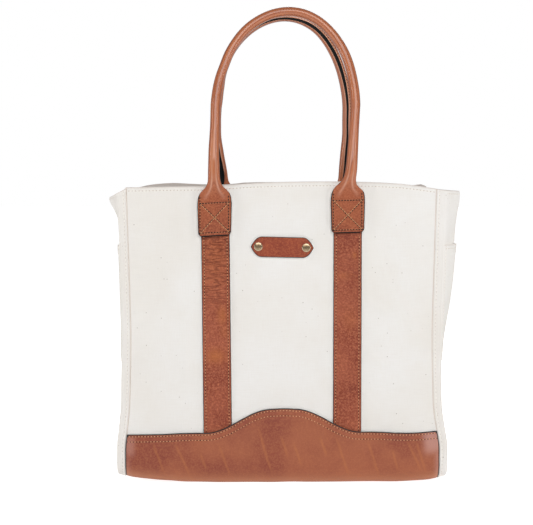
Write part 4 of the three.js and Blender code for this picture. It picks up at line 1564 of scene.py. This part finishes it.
def handle_marks(line, place_a, place_b, around, half):
    """The way in from a painted edge, the shine beside the seam and at the neck, and where it is rolled."""
    z = line["height"][:, None]
    sides = line["wide"][:, None] - np.abs(place_a) + NECK_CLEAR * smoothstep(z, *NECK["edge"])
    edge = np.minimum(np.minimum(np.abs(around) - half, sides), z - TAB["foot"])
    lip = ridge(np.abs(around) - half, ROLL_LIP["off"], ROLL_LIP["wide"]) * smoothstep(z, *NECK["lip"])
    aside, spread, share = (along(NECK_SHEEN, column, z) for column in ("aside", "spread", "share"))
    sheen = share * ridge(np.abs(place_a), aside, spread)
    lip = np.maximum(lip, np.where(place_b < 0, sheen, 0))
    rolled = smoothstep(z, *NECK["rolled"]) + 0 * around
    marks = {"edge": edge, "lip": lip, "rolled": rolled}
    return {kind: with_ends(values).ravel() for kind, values in marks.items()}


def handle_faces(count):
    """Quads between the rings, and one face on each end."""
    number = np.arange(count * ROLL_POINTS).reshape(count, ROLL_POINTS)
    ahead = np.roll(number, -1, axis=1)
    quads = np.stack([number[:-1], ahead[:-1], ahead[1:], number[1:]], axis=-1).reshape(-1, 4)
    return quads.tolist() + [number[0, ::-1].tolist(), number[-1].tolist()]


def handle_uv(line, around):
    """The way round and the way along for each corner of the quads. The two end faces have none."""
    near_u = with_ends(around)
    far_u = np.concatenate([near_u[:, 1:], near_u[:, :1] + np.ptp(near_u, axis=1, keepdims=True)], axis=1)
    gone = np.broadcast_to(with_ends(line["gone"])[:, None], near_u.shape)
    corner_u = np.stack([near_u[:-1], far_u[:-1], far_u[1:], near_u[1:]], axis=-1)
    corner_v = np.stack([gone[:-1], gone[:-1], gone[1:], gone[1:]], axis=-1)
    ends_uv = np.zeros((2 * ROLL_POINTS, 2))
    return np.concatenate([np.stack([corner_u, corner_v], axis=-1).reshape(-1, 2) * MM, ends_uv])


def roll_row(line, place_a, place_b, around):
    """The row of thread beside the seam of the roll."""
    inner_point = np.stack([[np.interp(ROLL_ROW, row, values) for row, values in zip(around, place)]
                            for place in (place_a, place_b)], axis=1)
    out_way = line["across"] * inner_point[:, :1] + line["through"] * inner_point[:, 1:]
    above = np.flatnonzero(line["height"] > ROLL_SEWN_FROM)
    return (line["middle"] + out_way)[above], unit(out_way)[above]


def tab_rows(line, ends):
    """The rows of thread on both tabs, each a straight line between two places on the tab's face."""
    rows = []
    for leg in (slice(0, line["leg"]), slice(-1, -line["leg"] - 1, -1)):
        heights = line["height"][leg]
        for side_0, height_0, side_1, height_1 in ends:
            a = np.linspace(side_0, side_1, TAB_ROW_POINTS) * TAB_BOX["half"]
            level = np.linspace(TAB_BOX[height_0], TAB_BOX[height_1], TAB_ROW_POINTS)
            middle, across, through = (on_path(line[part][leg], heights, level)
                                       for part in ("middle", "across", "through"))
            front = np.interp(level, heights, line["thick"][leg])[:, None]
            rows.append((middle + across * a[:, None] - through * front, -through))
    return rows


rolled_leather = handle_leather()
fine_thread = spun_thread("fine_thread", srgb(226, 172, 124), srgb(140, 84, 54), srgb(30, 18, 16))
box_thread = spun_thread("box_thread", srgb(204, 138, 96), srgb(132, 72, 46), srgb(30, 18, 16))
for face in ("front", "back"):
    turned = face == "back"
    line = handle_stations(face)
    place_a, place_b, around, half = handle_outlines(line)
    rings = handle_rings(line, place_a, place_b)
    marks = handle_marks(line, place_a, place_b, around, half)
    handle = new_piece(f"{face}_handle", in_frame(rings.reshape(-1, 3), turned), handle_faces(len(rings)),
                       handle_uv(line, around), marks)
    finish_piece(handle, f"handle_{face}", rolled_leather)

    rows = [roll_row(line, place_a, place_b, around)]
    stitches = sewn(f"{face}_handle_stitches", rows, ROLL_SEWING, turned=turned)
    finish_thread(stitches, fine_thread)
    for pattern, ends in TAB_LINES.items():
        stitches = sewn(f"{face}_tab_{pattern}", tab_rows(line, ends), TAB_SEWING[pattern], turned=turned)
        finish_thread(stitches, box_thread if pattern == "box" else fine_thread)


# The tag: a patch of leather with pointed ends and painted edges. It lies on the front below the rim, held
# flat to the canvas by two rivets.
TAG = {"x": 0.4, "z": 298.2, "length": 80, "width": 26, "straight": 26, "shoulder": 34, "thick": 2,
       "tilt": -1.35}
TAG_STEPS = ((0.35, 0.15), (0.5, 0.05), (1.2, 0))
TAG_CURVE_STEPS = 12


def tag_outline():
    """One quarter's straight and curve, mirrored round the patch, in order."""
    share = np.linspace(0, 1, TAG_CURVE_STEPS + 1)
    tip, edge = TAG["length"] / 2, TAG["width"] / 2
    x = (1 - share) ** 2 * TAG["straight"] + 2 * share * (1 - share) * TAG["shoulder"] + share ** 2 * tip
    y = (1 - share) ** 2 * -edge + 2 * share * (1 - share) * -edge
    right = np.concatenate([np.stack([x, y], 1), np.stack([x, -y], 1)[-2::-1]])
    return np.concatenate([right, -right])


def raised_patch(name, sides, radius, thick, steps, outline=None):
    """A flat patch drawn up to its thickness, then set in and raised in steps. It is round, or takes an
    outline of as many points as it has sides."""
    bpy.ops.object.select_all(action="DESELECT")
    bpy.ops.mesh.primitive_circle_add(vertices=sides, radius=radius, fill_type="NGON")
    patch = bpy.context.object
    patch.name = patch.data.name = name
    if outline is not None:
        for vertex, (x, y) in zip(patch.data.vertices, outline):
            vertex.co = (x, y, 0)
    bpy.ops.object.mode_set(mode="EDIT")
    bpy.ops.mesh.select_all(action="SELECT")
    bpy.ops.mesh.extrude_region_move(TRANSFORM_OT_translate={"value": (0, 0, thick)})
    for inset, rise in steps:
        bpy.ops.mesh.inset(thickness=inset)
        bpy.ops.transform.translate(value=(0, 0, rise))
    bpy.ops.mesh.select_all(action="SELECT")
    bpy.ops.mesh.normals_make_consistent(inside=False)
    bpy.ops.object.mode_set(mode="OBJECT")
    bpy.ops.object.shade_smooth_by_angle(angle=SMOOTH_ANGLE)
    return patch


outline = tag_outline()
tag = raised_patch("bare_tag", len(outline), TAG["length"] / 2, TAG["thick"], TAG_STEPS, outline)
places = np.array([vertex.co[:2] for vertex in tag.data.vertices])
ends = np.roll(outline, -1, axis=0)
runs = ends - outline
shares = np.clip(np.sum((places[:, None] - outline) * runs, -1) / np.sum(runs * runs, -1), 0, 1)
inset_by = np.linalg.norm(places[:, None] - outline - shares[..., None] * runs, axis=-1).min(axis=1)
tag.data.attributes.new("edge", "FLOAT", "POINT").data.foreach_set("value", inset_by.astype(np.float32))

slope = float(skin_depth(0.0, TAG["z"] - TAG["width"] / 2) - skin_depth(0.0, TAG["z"] + TAG["width"] / 2))
seat = in_frame(np.array([TAG["x"], -float(skin_depth(TAG["x"], TAG["z"])), TAG["z"]]), False)
tag_lean = math.pi / 2 - math.atan2(slope, TAG["width"])
tag_place = (Matrix.Translation(seat) @ Matrix.Rotation(tag_lean, 4, "X") @ Matrix.Scale(MM, 4)
             @ Matrix.Translation((0, 0, GAP)) @ Matrix.Rotation(math.radians(TAG["tilt"]), 4, "Z"))
tag.data.transform(tag_place)
TAG_TONES = (srgb(126, 50, 31), srgb(149, 68, 43), srgb(177, 93, 57), srgb(190, 110, 58))
tag_leather = leather("tag_leather", TAG_TONES, (600.0, 0.4, 0.75), 0.6)
finish_piece(tag, "tag", tag_leather)


# The rivets: two domed caps of antiqued brass with a turned-down rim. Each is set through the tag and the
# canvas, near one of the tag's points.
RIVET = {"spacing": 61, "head": 5.5, "rim": 1.05, "rise": 0.95, "proud": 0.1, "sides": 40, "rings": 8}


def antique_brass():
    """Brass with a brown patina that is worn bright on the rim and in patches."""
    material, tree, shader = new_material("antique_brass", 0.35, 0.5)
    shader.inputs["Metallic"].default_value = 1.0
    place = add(tree, "TexCoord").outputs["Object"]
    patina = remap(tree, cloudy(tree, place, 900.0, 3.0, 0.6), 0.3, 0.7)
    in_patches = remap(tree, patina, 0.0, 1.0, 0.6, 1.0)
    off_rim = remap(tree, mark(tree, "rim"), 0.0, 1.4, 0.2, 1.0)
    dulled = maths(tree, "MULTIPLY", in_patches, off_rim)
    tone = blended(tree, dulled, srgb(228, 209, 181), srgb(147, 122, 89))
    tree.links.new(tone, shader.inputs["Base Color"])
    tree.links.new(remap(tree, patina, 0.0, 1.0, 0.16, 0.3), shader.inputs["Roughness"])
    return material


brass = antique_brass()
turns = np.linspace(0, math.pi / 2, RIVET["rings"] + 1)[:-1]
dome = [(RIVET["head"] * (math.cos(low) - math.cos(high)), RIVET["rise"] * (math.sin(high) - math.sin(low)))
        for low, high in zip(turns, turns[1:])]
for side, way in (("left", -1), ("right", 1)):
    rivet = raised_patch(f"{side}_rivet", RIVET["sides"], RIVET["head"], RIVET["rim"], dome)
    from_rim = np.array([RIVET["head"] - vertex.co.xy.length for vertex in rivet.data.vertices], np.float32)
    rivet.data.attributes.new("rim", "FLOAT", "POINT").data.foreach_set("value", from_rim)
    seated = (way * RIVET["spacing"] / 2, 0, TAG["thick"] + RIVET["proud"])
    rivet.data.transform(tag_place @ Matrix.Translation(seated))
    finish_piece(rivet, f"rivet_{side}", brass)
